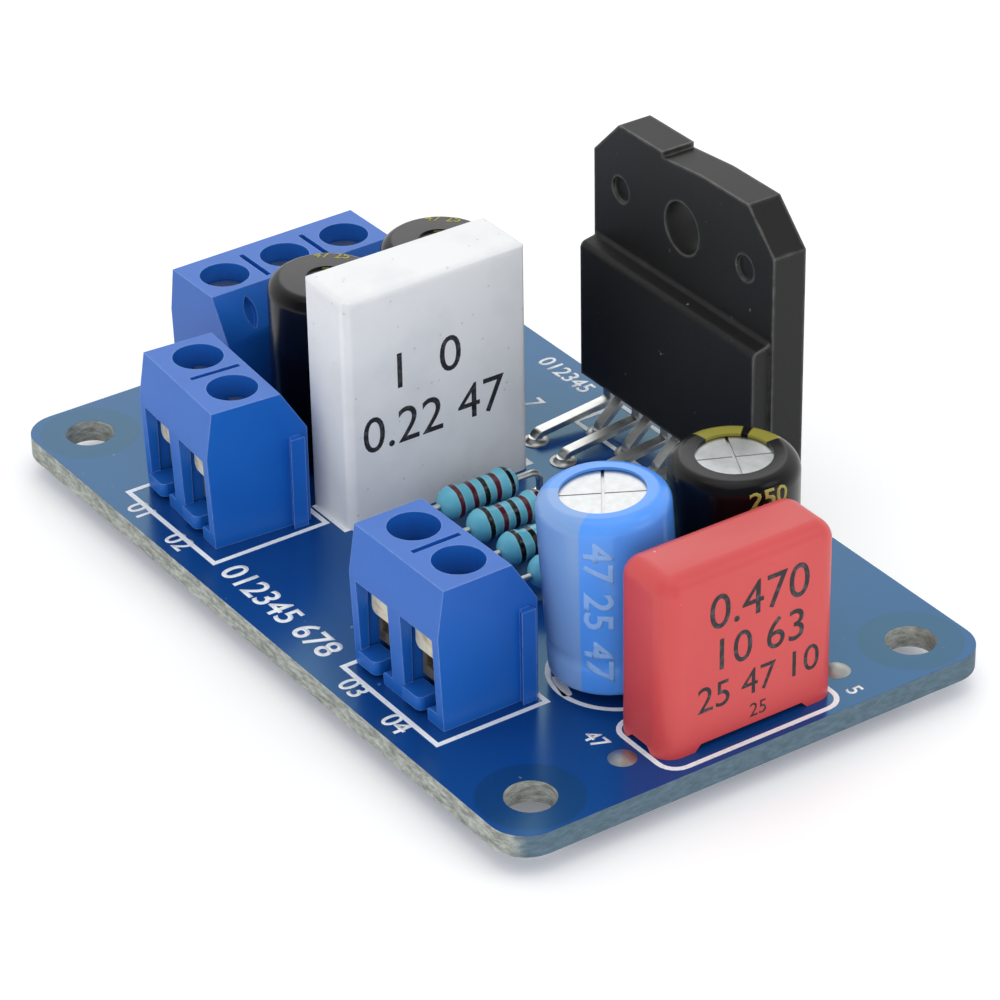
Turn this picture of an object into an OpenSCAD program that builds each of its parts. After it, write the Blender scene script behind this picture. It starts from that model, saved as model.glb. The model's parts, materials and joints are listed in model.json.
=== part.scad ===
// Audio amplifier board: a circuit board that carries one standing amplifier chip,
// three screw terminal blocks, a cement power resistor, four electrolytic capacitors,
// a film capacitor and a row of small film resistors.
// Frame: X along the board's long edge, Y towards the chip's edge, Z up.
// The origin is the centre of the board's underside, midway between its four holes.

/* [Board] */
// Length of the board
board_l = 62; // [60:0.5:70]
// Width of the board
board_w = 37.5; // [36.5:0.5:44]
// Thickness of the board
board_t = 1.6; // [1:0.1:2.4]
// Radius of the board's corners
board_corner_r = 2.6; // [1:0.1:3.4]
// Diameter of the mounting holes
mount_hole_d = 3.4; // [2.6:0.1:4]
// Distance of the mounting holes from the edges
mount_inset = 3.75; // [3.5:0.05:4.5]

/* [Soldering] */
// Length of the trimmed leads below the board
lead_stub = 1.5; // [1:0.1:2.5]
// Room round a lead in its hole in the board
hole_clear = 0.25; // [0.15:0.05:0.35]
// Room between a lead and the solder round it
solder_fit = 0.03; // [0.02:0.01:0.06]
// Width and height of a solder fillet below the board
solder_w = 0.65; // [0.4:0.05:0.8]
// Width of the tinned ring round a hole
pad_ring = 0.22; // [0.15:0.01:0.4]
// Height of the tinned rings
pad_t = 0.06; // [0.04:0.01:0.1]

/* [Terminal blocks] */
// Distance from pole to pole
term_pitch = 5; // [4.8:0.1:5.6]
// Depth of a block from its wire side to its back
term_depth = 7.6; // [7.4:0.1:8.4]
// Height of a block
term_h = 10.4; // [10:0.1:11.5]
// Height at which the wire side starts to lean back
term_front_z = 7.05; // [6.8:0.05:7.4]
// How far the wire side leans back at the top
term_front_inset = 0.53; // [0.2:0.05:0.9]
// How far the foot of the wire side is set back
term_foot_inset = 0.3; // [0:0.05:0.5]
// Height at which the back starts to slope
term_back_z = 7.31; // [6.6:0.05:8]
// How far the back slopes in at the top
term_back_inset = 1.89; // [1.4:0.05:2.1]
// Diameter of a screw well
well_d = 3.5; // [3.4:0.05:3.7]
// Distance of the screws from the wire side
well_depth_y = 3.4; // [3.3:0.05:3.7]
// Width of a wire window
window_w = 3.6; // [3:0.1:3.8]
// Height of the top of the sill in a wire window
sill_z = 1.3; // [1:0.05:1.5]
// Width of that sill
sill_w = 1.9; // [1.6:0.1:2.1]
// Height of the top of a wire window
window_top_z = 6.6; // [6:0.1:6.8]
// Set-back of the two front blocks from the board's edge
front_setback = 2.95; // [2.5:0.05:3.5]
// Set-back of the side block from the board's edge
side_setback = 2.57; // [2:0.05:3]
// Distance from the board's left end to the middle of the output block
out_end = 17.5; // [16:0.1:19]
// Distance from the board's right end to the middle of the input block
in_end = 17.7; // [16:0.1:19]
// Place of the power block across the board
power_y = 0.3; // [-0.5:0.1:1]
// Twist of the hand-soldered output block
out_yaw = -3.8; // [-5:0.1:5]
// Twist of the input block
in_yaw = 0.7; // [-5:0.1:5]
// Twist of the power block
power_yaw = 1; // [-3:0.1:3]

/* [Terminal metal] */
// Diameter of the clamp screws
screw_d = 2.5; // [2:0.1:2.8]
// Room between a screw and its threaded hole
screw_fit = 0.05; // [0.02:0.01:0.08]
// Diameter of a screw head
screw_head_d = 3.2; // [3.1:0.05:3.25]
// Height of a screw head
screw_head_h = 1; // [0.8:0.1:1.2]
// Depth of the output block's screws below its top
out_screw_sunk = 1.6; // [1:0.1:2]
// Depth of the input block's screws below its top
in_screw_sunk = 2; // [1:0.1:2]
// Depth of the power block's screws below its top
power_screw_sunk = 1.3; // [1:0.1:2]
// Travel of a screw and its clamp plate
clamp_travel = 1.4; // [0.5:0.1:1.5]
// Height of the top of the clamp plate's tongue
tongue_z = 4.5; // [4.3:0.05:4.6]
// Thickness of the clamp plate
plate_t = 0.4; // [0.3:0.05:0.45]
// Diameter of a terminal pin
term_pin_d = 1; // [0.8:0.05:1.2]

/* [Power resistor] */
// Thickness of the power resistor
power_res_t = 5.1; // [4.8:0.1:6]
// Width of the power resistor
power_res_w = 14.7; // [12:0.1:15.5]
// Height of the power resistor
power_res_h = 17.7; // [15:0.1:20]
// Radius of its edges
power_res_r = 0.7; // [0.2:0.05:0.8]
// Distance between its leads
power_res_pitch = 9; // [7:0.5:10]
// Diameter of its leads
power_res_lead_d = 0.8; // [0.6:0.05:1]

/* [Electrolytic capacitors] */
// Diameter of the blue capacitor
blue_cap_d = 8.7; // [8:0.1:9]
// Length of the blue capacitor
blue_cap_l = 12.8; // [11:0.1:14]
// Height of the blue capacitor above the board
blue_cap_seat = 0.8; // [0.6:0.1:2]
// Lean of the blue capacitor
blue_cap_lean = 3.6; // [0:0.1:4]
// Compass direction of that lean, from the X axis
blue_cap_lean_to = 235; // [0:5:360]
// Diameter of the black capacitor
black_cap_d = 8.6; // [8:0.1:9]
// Length of the black capacitor
black_cap_l = 12.4; // [11:0.1:14]
// Diameter of the two supply capacitors
supply_cap_d = 8.2; // [7.5:0.1:8.6]
// Length of the two supply capacitors
supply_cap_l = 13.2; // [11:0.1:16]
// Height of the upright capacitors above the board
cap_seat = 0.6; // [0.3:0.1:1.5]
// Thickness of the plastic sleeve
sleeve_t = 0.2; // [0.1:0.05:0.3]
// Width of the blue sleeve's fold over the top
blue_rim = 1.55; // [1.3:0.05:2.4]
// Width of the black sleeve's fold
black_rim = 1.75; // [1.3:0.05:2.4]
// Width of the supply capacitors' folds
supply_rim = 2.2; // [1.3:0.05:2.4]
// Width of the sleeves' fold below, clear of the leads
low_rim = 1.4; // [1.2:0.05:1.6]
// Radius of the top shoulder
shoulder_r = 1.05; // [0.8:0.05:1.2]
// Radius of the bottom edge
cap_foot_r = 0.5; // [0.4:0.05:0.8]
// Height of the crimp groove
crimp_z = 2.4; // [2:0.1:3]
// Radius of the crimp groove
crimp_r = 1.6; // [1.2:0.1:2]
// Depth of the crimp groove
crimp_depth = 0.12; // [0.04:0.02:0.2]
// Width of the main vent score
score_w = 0.22; // [0.15:0.01:0.4]
// Width of the vent score across it
cross_score_w = 0.12; // [0.08:0.01:0.3]
// Compass direction of the blue capacitor's main score
blue_vent_turn = -35; // [-90:5:90]
// Compass direction of the other main scores
black_vent_turn = -25; // [-90:5:90]
// Depth of the vent scores
score_depth = 0.18; // [0.1:0.02:0.3]
// Diameter of the rubber seal
seal_d = 5.2; // [4.8:0.1:5.6]
// Height of the rubber seal
seal_h = 1.8; // [1:0.1:2]
// Room between sleeve, can, seal and leads
cap_fit = 0.03; // [0.02:0.01:0.05]
// Distance between the leads
cap_pitch = 3.5; // [3:0.1:3.8]
// Diameter of the leads
cap_lead_d = 0.6; // [0.5:0.05:0.7]

/* [Film capacitor] */
// Thickness of the film capacitor
film_t = 5.3; // [4.5:0.1:6]
// Width of the film capacitor
film_w = 13.6; // [12:0.1:15]
// Height of the film capacitor
film_h = 12.9; // [11:0.1:14]
// Radius of its moulded edges
film_r = 1.4; // [0.6:0.1:1.6]
// Height of its feet
film_foot_h = 0.45; // [0.3:0.05:0.8]
// Width of its feet
film_foot_w = 2.4; // [1.8:0.1:3]
// Distance between its leads
film_pitch = 10; // [7.5:0.5:10]
// Diameter of its leads
film_lead_d = 0.8; // [0.6:0.05:0.9]
// Place of its middle across the board
film_y = 0.45; // [-1:0.05:1]
// Gap from its face to the board's end
film_setback = 1.65; // [1:0.05:2]

/* [Film resistors] */
// Length of a resistor body
res_l = 6.3; // [5.5:0.1:7]
// Diameter of the end caps
res_cap_d = 2.4; // [2.2:0.05:2.8]
// Diameter of the body between the caps
res_body_d = 2.05; // [1.8:0.05:2.15]
// Distance from resistor to resistor
res_spacing = 3.6; // [3.2:0.1:3.8]
// Share of the free room beside the row that lies on its left
res_share = 0.31; // [0.1:0.01:0.9]
// Place of the resistors across the board
res_y = 0.9; // [0:0.1:1.5]
// Height of their axes above the board
res_axis_z = 1.85; // [1.5:0.05:2.2]
// Distance between the leads of a resistor
res_pitch = 10.2; // [9.6:0.1:11]
// Diameter of the leads
res_lead_d = 0.5; // [0.4:0.05:0.6]
// Radius of the bend in the leads
res_bend_r = 0.8; // [0.6:0.05:1]

/* [Amplifier chip] */
// Width of the chip
chip_w = 20.2; // [19:0.1:21]
// Height of the chip
chip_h = 20; // [18:0.1:21]
// Thickness of the chip's foot
chip_t = 4.05; // [3.8:0.05:4.6]
// Thickness of the chip's mounting flange
chip_flange_t = 2.65; // [2.2:0.05:3]
// Height of the thick foot
chip_foot_h = 10.4; // [9:0.1:11]
// Rise of the ledge on top of the foot
chip_ledge_h = 0.25; // [0.1:0.05:0.6]
// Set-back of the foot's sides
chip_side_inset = 0.25; // [0.1:0.05:0.5]
// Size of the top corner chamfers
chip_chamfer = 2.87; // [2:0.05:3.5]
// Diameter of the mounting hole
chip_hole_d = 3.8; // [3.2:0.1:4]
// Height of the mounting hole in the chip
chip_hole_z = 15.2; // [14.8:0.05:15.5]
// Height of the chip above the board
chip_seat = 3.26; // [2.6:0.05:4]
// Place of the chip along the board
chip_x = 0.6; // [0:0.1:1.2]
// Distance from lead to lead
chip_pitch = 1.7; // [1.6:0.02:1.75]
// Width of a lead
chip_lead_w = 0.85; // [0.6:0.05:0.9]
// Thickness of a lead
chip_lead_t = 0.45; // [0.4:0.05:0.5]
// Distance of the lead frame from the chip's back
chip_lead_y = 2.6; // [2.4:0.05:2.8]
// Distance of the near row of leads from the chip's back
near_row = 4.65; // [4.4:0.05:4.8]
// Distance of the far row of leads from the chip's back
far_row = 8.95; // [8.6:0.05:9.2]

/* [Spacing] */
// Gap from the power block to the supply capacitors
supply_gap = 1.5; // [1.2:0.1:2]
// Gap from the output block to the supply capacitors
supply_front_gap = 1.8; // [1.3:0.1:2.2]
// Gap between the two supply capacitors
supply_between = 1; // [0.4:0.1:1.4]
// Gap from the supply capacitors to the power resistor
power_res_gap = 0.85; // [0.4:0.05:1.2]
// Gap from the output block to the power resistor
power_res_front_gap = 0.95; // [0.6:0.05:1.4]
// Gap from the input block to the blue capacitor
blue_front_gap = 1.3; // [0.9:0.1:1.6]
// Gap from the blue capacitor to the film capacitor
blue_film_gap = 0.7; // [0.5:0.05:1.2]
// Gap between the blue and the black capacitor
blue_black_gap = 0.6; // [0.3:0.05:0.8]

/* [Hidden] */
$fn = 48;
case_facets = 32;
eps = 0.01;

// Turns a point of a plane about the origin
function turned(p, a) = [p[0] * cos(a) - p[1] * sin(a), p[0] * sin(a) + p[1] * cos(a)];

function unit(v) = v / norm(v);

// Points of an arc of radius r that rounds the corner b between a and c
function corner_arc(a, b, c, r) =
  let (
    to_a = unit(a - b),
    to_c = unit(c - b),
    half = acos(to_a * to_c) / 2,
    centre = b + unit(to_a + to_c) * r / sin(half),
    start = b + to_a * r / tan(half) - centre,
    turn = sign(cross(b - a, c - b)) * (180 - 2 * half)
  )
  [for (k = [0 : bend_steps]) centre + turned(start, turn * k / bend_steps)];

// Path with its corners rounded
function round_path(path, r) = [
  path[0],
  for (i = [1 : len(path) - 2]) each corner_arc(path[i - 1], path[i], path[i + 1], r),
  path[len(path) - 1]
];

// Line beside a path, at a distance to its left
function path_edge(path, d) = [
  for (i = [0 : len(path) - 1])
    let (
      k = max(i, 1),
      m = min(i, len(path) - 2),
      before = unit(path[k] - path[k - 1]),
      after = unit(path[m + 1] - path[m]),
      along = unit(before + after)
    )
    path[i] + d / (along * before) * [-along[1], along[0]]
];

// Terminal blocks: centre of the plan, heading of the block, number of poles, depth of the screws
front_block_y = -board_w / 2 + front_setback + term_depth / 2;
front_block_back = front_block_y + term_depth / 2;
side_block_x = -board_l / 2 + side_setback + term_depth / 2;
out_block = [out_end - board_l / 2, front_block_y, out_yaw, 2, out_screw_sunk];
in_block = [board_l / 2 - in_end, front_block_y, in_yaw, 2, in_screw_sunk];
power_block = [side_block_x, power_y, -90 + power_yaw, 3, power_screw_sunk];

function pole_x(block, i) = (i - (block[3] - 1) / 2) * term_pitch;
function at_pole(block, i, depth) =
  [block[0], block[1]] + turned([pole_x(block, i), depth - term_depth / 2], block[2]);

// Inside of a terminal block, heights above the board
chamber_clear = 0.1;
end_wall = 0.5;
front_wall = 0.9;
sill_gap = 0.3;
sill_r = 0.5;
sill_front_y = 0.05;
foot_w = 1.1;
foot_h = 1;
foot_r = 0.3;
rib_t = 0.5;
rib_w = 1.1;
rib_neck = 0.7;
rib_y = 6.6;
rib_h = 6.9;
groove_w = 0.4;
groove_l = 3.7;
groove_depth = 0.6;
lens_length = 2.4;
lens_w = 0.9;
lens_depth = 0.5;
chamber_w = term_pitch - 2 * end_wall;
clamp_w = chamber_w - 2 * chamber_clear;
plate_gap = 0.15;
plate_side = 0.2;
plate_w = window_w - 2 * plate_side;
plate_h = 2.7;
plate_corner_r = 0.5;
plate_y = front_wall + plate_gap;
clamp_front_y = plate_y + plate_t + 2 * plate_gap;
clamp_back_y = 2 * well_depth_y - clamp_front_y;
tip_gap = 0.02;
thread_gap = 0.4;
thread_plate_t = 1;
thread_z = tongue_z + thread_gap;
clamp_top_z = thread_z + thread_plate_t;
wire_floor_z = tongue_z - plate_t - clamp_travel - 2 * plate_gap;
clamp_floor_t = 0.8;
plate_top_z = tongue_z - plate_t + plate_h;
thread_lip = 0.15;
cavity_w = screw_d + 2 * (screw_fit + thread_lip);
tongue_w = cavity_w - 4 * chamber_clear;
tongue_l = well_depth_y + screw_d / 2 - plate_y;
screw_slot_w = 0.6;
screw_slot_depth = 0.5;

// Upright capacitors: place, diameter, length, seat height, lean, direction of lean,
// fold of the sleeve, direction of the main vent score
supply_x = side_block_x + term_depth / 2 + supply_gap + supply_cap_d / 2;
supply_1_y = front_block_back + supply_front_gap + supply_cap_d / 2;
supply_2_y = supply_1_y + supply_cap_d + supply_between;
film_x = board_l / 2 - film_setback - film_t / 2;
blue_x = film_x - film_t / 2 - blue_film_gap - blue_cap_d / 2;
blue_y = front_block_back + blue_front_gap + blue_cap_d / 2;
black_y = blue_y + blue_cap_d / 2 + blue_black_gap + black_cap_d / 2;
blue_cap = [
  blue_x, blue_y, blue_cap_d, blue_cap_l, blue_cap_seat, blue_cap_lean, blue_cap_lean_to,
  blue_rim, blue_vent_turn
];
black_cap = [blue_x, black_y, black_cap_d, black_cap_l, cap_seat, 0, 0, black_rim, black_vent_turn];
supply_cap_1 = [
  supply_x, supply_1_y, supply_cap_d, supply_cap_l, cap_seat, 0, 0,
  supply_rim, black_vent_turn
];
supply_cap_2 = [
  supply_x, supply_2_y, supply_cap_d, supply_cap_l, cap_seat, 0, 0,
  supply_rim, black_vent_turn
];
caps = [blue_cap, black_cap, supply_cap_1, supply_cap_2];

// Power resistor, and the row of small resistors between it and the two capacitors
power_res_x = supply_x + supply_cap_d / 2 + power_res_gap + power_res_t / 2;
power_res_y = front_block_back + power_res_front_gap + power_res_w / 2;
power_res_recess = 0.8;
power_res_wall = 1;
res_count = 4;
res_left = power_res_x + power_res_t / 2;
res_right = blue_x - max(blue_cap_d, black_cap_d) / 2;
res_row = (res_count - 1) * res_spacing + res_cap_d;
res_x = res_left + res_cap_d / 2 + res_share * (res_right - res_left - res_row);

// Chip and its leads
chip_back = board_w / 2;
chip_z = board_t + chip_seat;
chip_leads = 11;
chip_lead_exit = chip_back - chip_lead_y;
chip_bend_r = 0.45;
bend_steps = 5;
far_drop = 2;
near_drop = 0.9;
far_bend_h = 0.6;
near_bend_h = 0.55;
chip_shoulder_w = 1.2;
chip_shoulder_h = 0.6;
chip_lead_hole = norm([chip_lead_w, chip_lead_t]);
chip_notch_w = 4.5;
chip_notch_depth = 0.4;
chip_brow_r = 0.5;
chip_hollow_r = 0.4;
chip_mark_d = 1.9;
chip_mark_depth = 0.25;
chip_mark_x = 7;

function chip_lead_x(i) = chip_x + (i - (chip_leads - 1) / 2) * chip_pitch;
function chip_lead_row(i) = chip_back - (i % 2 == 0 ? far_row : near_row);

// Two spare tinned holes for a longer film capacitor
spare_pad_r = 0.95;
spare_pad_h = 0.35;
spare_pitch = 16.9;
spare_shift = 0.5;
spare_x = film_x + spare_shift;

// Places and diameters of all the leads that pass through the board, and the lean of the capacitors
block_holes = [
  for (block = [out_block, in_block, power_block])
    for (i = [0 : block[3] - 1])
      concat(at_pole(block, i, well_depth_y), term_pin_d)
];
cap_holes = [
  for (c = caps)
    for (s = [-1, 1])
      [c[0], c[1] + s * cap_pitch / 2, cap_lead_d, c[5]]
];
power_res_holes = [for (s = [-1, 1]) [power_res_x, power_res_y + s * power_res_pitch / 2, power_res_lead_d]];
film_holes = [for (s = [-1, 1]) [film_x, film_y + s * film_pitch / 2, film_lead_d]];
res_holes = [
  for (i = [0 : res_count - 1])
    for (s = [-1, 1])
      [res_x + i * res_spacing, res_y + s * res_pitch / 2, res_lead_d]
];
chip_holes = [for (i = [0 : chip_leads - 1]) [chip_lead_x(i), chip_lead_row(i), chip_lead_hole]];
lead_holes = concat(block_holes, cap_holes, power_res_holes, film_holes, res_holes, chip_holes);

// Rectangle with round corners, centred
module round_rect(w, h, r) {
  square([w - 2 * r, h], center = true);
  square([w, h - 2 * r], center = true);
  for (x = [-1, 1])
    for (y = [-1, 1])
      translate([x * (w / 2 - r), y * (h / 2 - r)]) circle(r);
}

// Rectangle that stands on the X axis, with round top corners
module round_top(w, h, r) {
  translate([-w / 2, 0]) square([w, h - r]);
  translate([r - w / 2, 0]) square([w - 2 * r, h]);
  for (x = [-1, 1])
    translate([x * (w / 2 - r), h - r]) circle(r);
}

// Rectangle from the origin with its far lower corner round
module one_round_corner(w, h, r) {
  square([w - r, h]);
  translate([0, r]) square([w, h - r]);
  translate([w - r, r]) circle(r);
}

// Box with round upright and top edges, on the XY plane
module soft_box(t, w, h, r) {
  intersection() {
    linear_extrude(h) round_rect(t, w, r);
    rotate([90, 0, 0]) linear_extrude(w, center = true) round_top(t, h, r);
    rotate([90, 0, 90]) linear_extrude(t, center = true) round_top(w, h, r);
  }
}

// Straight round lead from a height down to the trimmed ends
module straight_lead(x, y, d, top_z) {
  translate([x, y, -lead_stub]) cylinder(d = d, h = top_z + lead_stub);
}

// Circuit board
module circuit_board() {
  color("#1b4d94")
    linear_extrude(board_t)
      difference() {
        round_rect(board_l, board_w, board_corner_r);
        for (x = [-1, 1])
          for (y = [-1, 1])
            translate([x * (board_l / 2 - mount_inset), y * (board_w / 2 - mount_inset)])
              circle(d = mount_hole_d);
        for (h = lead_holes)
          translate([h[0], h[1]]) circle(d = h[2] + 2 * hole_clear);
      }
}

// Tinned ring of one hole, on the board's top
module pad_ring_at(h) {
  translate([h[0], h[1], board_t])
    linear_extrude(pad_t)
      difference() {
        circle(d = h[2] + 2 * (hole_clear + pad_ring));
        circle(d = h[2] + 2 * hole_clear);
      }
}

// Dome of solder that closes a spare hole
module spare_pad() {
  ball_r = (spare_pad_r * spare_pad_r + spare_pad_h * spare_pad_h) / (2 * spare_pad_h);
  intersection() {
    translate([0, 0, spare_pad_h - ball_r]) sphere(ball_r);
    cylinder(r = 2 * spare_pad_r, h = 2 * spare_pad_h);
  }
}

module tinned_pads() {
  color("#b9bdb9") {
    for (h = lead_holes)
      pad_ring_at(h);
    for (s = [-1, 1])
      translate([spare_x, film_y + s * spare_pitch / 2, board_t]) spare_pad();
  }
}

// Solder fillet below the board, open for its lead
module solder_joint(d) {
  r = d / 2 + solder_w;
  mirror([0, 0, 1])
    rotate_extrude()
      difference() {
        square([r, solder_w]);
        square([d / 2 + solder_fit, 3 * solder_w]);
        translate([r, solder_w]) circle(solder_w - 2 * solder_fit);
      }
}

module solder_joints() {
  color("#c4c8c8") {
    for (h = lead_holes)
      translate([h[0], h[1], 0]) solder_joint(h[2] + lean_room(h));
    for (s = [-1, 1])
      translate([spare_x, film_y + s * spare_pitch / 2, 0]) mirror([0, 0, 1]) spare_pad();
  }
}

// Extra width that a leaning lead needs below the board
function lean_room(h) = is_undef(h[3]) ? 0 : 2 * (board_t + solder_w) * tan(h[3]);

// Puts a part in the frame of a terminal block: X across the poles, Y from the wire side
module in_block_frame(block) {
  translate([block[0], block[1], board_t])
    rotate([0, 0, block[2]])
      translate([0, -term_depth / 2, 0])
        children();
}

// Section of a block, seen along its poles
module block_section() {
  polygon([
    [term_foot_inset, 0],
    [0, term_front_z],
    [term_front_inset, term_h],
    [term_depth - term_back_inset, term_h],
    [term_depth, term_back_z],
    [term_depth, 0]
  ]);
}

// Dovetail that joins two blocks, seen from above, on the +X side of its origin
module dovetail(grow) {
  polygon([
    [-eps, -rib_neck / 2 - grow],
    [rib_t + grow, -rib_w / 2 - grow],
    [rib_t + grow, rib_w / 2 + grow],
    [-eps, rib_neck / 2 + grow]
  ]);
}

// Lens-shaped mark in the back slope of a pole
module lens_mark() {
  lens_r = (lens_length * lens_length + lens_w * lens_w) / (4 * lens_w);
  slope = atan2(term_h - term_back_z, term_back_inset);
  mid_y = term_depth - term_back_inset / 2;
  mid_z = (term_h + term_back_z) / 2;
  translate([0, mid_y, mid_z])
    rotate([-slope, 0, 0])
      translate([0, 0, -lens_depth])
        linear_extrude(2 * lens_depth)
          intersection() {
            translate([lens_r - lens_w / 2, 0]) circle(lens_r);
            translate([lens_w / 2 - lens_r, 0]) circle(lens_r);
          }
}

// Sill that reaches into the wire window of one pole from its left side
module sill() {
  depth = clamp_front_y - chamber_clear - sill_front_y;
  translate([-window_w / 2 - eps, sill_front_y, sill_gap])
    linear_extrude(sill_z - sill_gap) one_round_corner(sill_w + eps, depth, sill_r);
}

// Foot beside the post on the right of a wire window
module post_foot() {
  translate([window_w / 2 + eps, front_wall, foot_h])
    rotate([90, 0, 0])
      rotate([0, 0, 180])
        linear_extrude(term_depth) one_round_corner(foot_w + eps, foot_h + eps, foot_r);
}

// Hollow of one pole: screw well, clamp chamber, plate slot and wire window
module pole_hollow() {
  difference() {
    union() {
      translate([0, well_depth_y, clamp_top_z]) cylinder(d = well_d, h = term_h);
      translate([-chamber_w / 2, front_wall, -eps])
        cube([chamber_w, clamp_back_y + chamber_clear - front_wall, clamp_top_z + eps]);
      translate([-chamber_w / 2, front_wall, -eps])
        cube([chamber_w, clamp_front_y - front_wall, plate_top_z + chamber_clear]);
      translate([-window_w / 2, -term_depth, -eps])
        cube([window_w, term_depth + front_wall + eps, window_top_z + eps]);
    }
    sill();
    post_foot();
  }
}

module terminal_housing(block) {
  poles = block[3];
  half_w = poles * term_pitch / 2;
  color("#2f6cc0")
    in_block_frame(block)
      difference() {
        union() {
          rotate([90, 0, 90]) linear_extrude(2 * half_w, center = true) block_section();
          translate([half_w, rib_y, 0]) linear_extrude(rib_h) dovetail(0);
          for (i = [0 : poles - 1])
            translate([pole_x(block, i), 0, 0]) sill();
        }
        for (i = [0 : poles - 1])
          translate([pole_x(block, i), 0, 0]) {
            pole_hollow();
            lens_mark();
          }
        translate([-half_w, rib_y, -eps]) linear_extrude(rib_h + chamber_clear) dovetail(chamber_clear);
        for (i = [1 : poles - 1])
          translate([(i - poles / 2) * term_pitch, well_depth_y, term_h - groove_depth])
            translate([-groove_w / 2, -groove_l / 2, 0]) cube([groove_w, groove_l, term_h]);
      }
}

// Metal clamp body of one pole, with its thread and its solder pin
module terminal_contact() {
  body_d = clamp_back_y - clamp_front_y;
  floor_z = wire_floor_z - clamp_floor_t;
  difference() {
    translate([-clamp_w / 2, clamp_front_y, floor_z]) cube([clamp_w, body_d, clamp_top_z - floor_z]);
    translate([-cavity_w / 2, 0, wire_floor_z])
      cube([cavity_w, term_depth, thread_z - wire_floor_z]);
    translate([0, well_depth_y, thread_z - eps])
      cylinder(d = screw_d + 2 * screw_fit, h = thread_plate_t + 2 * eps);
  }
  translate([0, well_depth_y, -board_t - lead_stub])
    cylinder(d = term_pin_d, h = board_t + lead_stub + floor_z + eps);
}

module terminal_contacts(block) {
  color("#c9c2a8")
    in_block_frame(block)
      for (i = [0 : block[3] - 1])
        translate([pole_x(block, i), 0, 0]) terminal_contact();
}

// Clamp plate that hangs in the wire window and is pushed down by its screw
module clamp_plate(block, i) {
  low_z = tongue_z - plate_t;
  color("#d8cfae")
    in_block_frame(block)
      translate([pole_x(block, i), plate_y, low_z]) {
        translate([0, plate_t, plate_h])
          rotate([90, 0, 0])
            mirror([0, 1, 0])
              linear_extrude(plate_t) round_top(plate_w, plate_h, plate_corner_r);
        translate([-tongue_w / 2, 0, 0]) cube([tongue_w, tongue_l, plate_t]);
      }
}

// Slotted clamp screw, its tip on the clamp plate's tongue
module clamp_screw(block, i) {
  head_top = term_h - block[4];
  head_low = head_top - screw_head_h;
  tip_z = tongue_z + tip_gap;
  color("#c8c8c4")
    in_block_frame(block)
      translate([pole_x(block, i), well_depth_y, 0])
        difference() {
          union() {
            translate([0, 0, head_low]) cylinder(d = screw_head_d, h = screw_head_h);
            translate([0, 0, tip_z]) cylinder(d = screw_d, h = head_low - tip_z + eps);
          }
          translate([-screw_head_d, -screw_slot_w / 2, head_top - screw_slot_depth])
            cube([2 * screw_head_d, screw_slot_w, term_h]);
        }
}

// Cement power resistor: a ceramic case with a recessed underside
module power_resistor() {
  color("#eef0f2")
    translate([power_res_x, power_res_y, board_t])
      difference() {
        soft_box(power_res_t, power_res_w, power_res_h, power_res_r);
        translate([power_res_wall - power_res_t / 2, power_res_wall - power_res_w / 2, -eps])
          cube([power_res_t - 2 * power_res_wall, power_res_w - 2 * power_res_wall, power_res_recess + eps]);
      }
}

module power_resistor_leads() {
  color("#b8babb")
    for (h = power_res_holes)
      straight_lead(h[0], h[1], h[2], board_t + power_res_recess);
}

// Puts an upright capacitor on the board, with its lean
module in_cap_frame(c) {
  translate([c[0], c[1], board_t])
    rotate(a = c[5], v = [-sin(c[6]), cos(c[6]), 0])
      children();
}

// Half section of a capacitor, drawn in by a wall, with shoulder, crimp groove and foot
module cap_section(c, inset) {
  r = c[2] / 2 - inset;
  low = c[4] + inset;
  high = c[4] + c[3] - inset;
  top_r = shoulder_r - inset;
  low_r = cap_foot_r - inset;
  difference() {
    union() {
      translate([0, low]) square([r - low_r, high - top_r - low]);
      translate([0, low]) square([r - top_r, high - low]);
      translate([0, low + low_r]) square([r, high - top_r - low - low_r]);
      translate([r - top_r, high - top_r]) circle(top_r);
      translate([r - low_r, low + low_r]) circle(low_r);
    }
    translate([c[2] / 2 + crimp_r - crimp_depth, c[4] + crimp_z]) circle(crimp_r + inset);
  }
}

module cap_sleeve(c, shade) {
  color(shade)
    in_cap_frame(c)
      rotate_extrude()
        difference() {
          cap_section(c, 0);
          cap_section(c, sleeve_t);
          square([c[2] / 2 - low_rim, c[4] + c[3] / 2]);
          translate([0, c[4]]) square([c[2] / 2 - c[7], 2 * c[3]]);
        }
}

// Aluminium can, scored across the top and hollow below for its seal
module cap_can(c) {
  top_z = c[4] + c[3] - sleeve_t - cap_fit;
  color("#d5d6d8")
    in_cap_frame(c)
      difference() {
        rotate_extrude() cap_section(c, sleeve_t + cap_fit);
        translate([0, 0, c[4]]) cylinder(d = seal_d, h = seal_h);
        for (score = [[c[8], score_w], [c[8] + 90, cross_score_w]])
          rotate([0, 0, score[0]])
            translate([-c[2] / 2, -score[1] / 2, top_z - score_depth])
              cube([c[2], score[1], 2 * score_depth]);
      }
}

module cap_seal(c) {
  low = c[4] + sleeve_t + cap_fit;
  color("#23211f")
    in_cap_frame(c)
      difference() {
        translate([0, 0, low]) cylinder(d = seal_d - 2 * cap_fit, h = c[4] + seal_h - low);
        for (s = [-1, 1])
          translate([0, s * cap_pitch / 2, low - eps]) cylinder(d = cap_lead_d + 2 * cap_fit, h = seal_h);
      }
}

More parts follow.
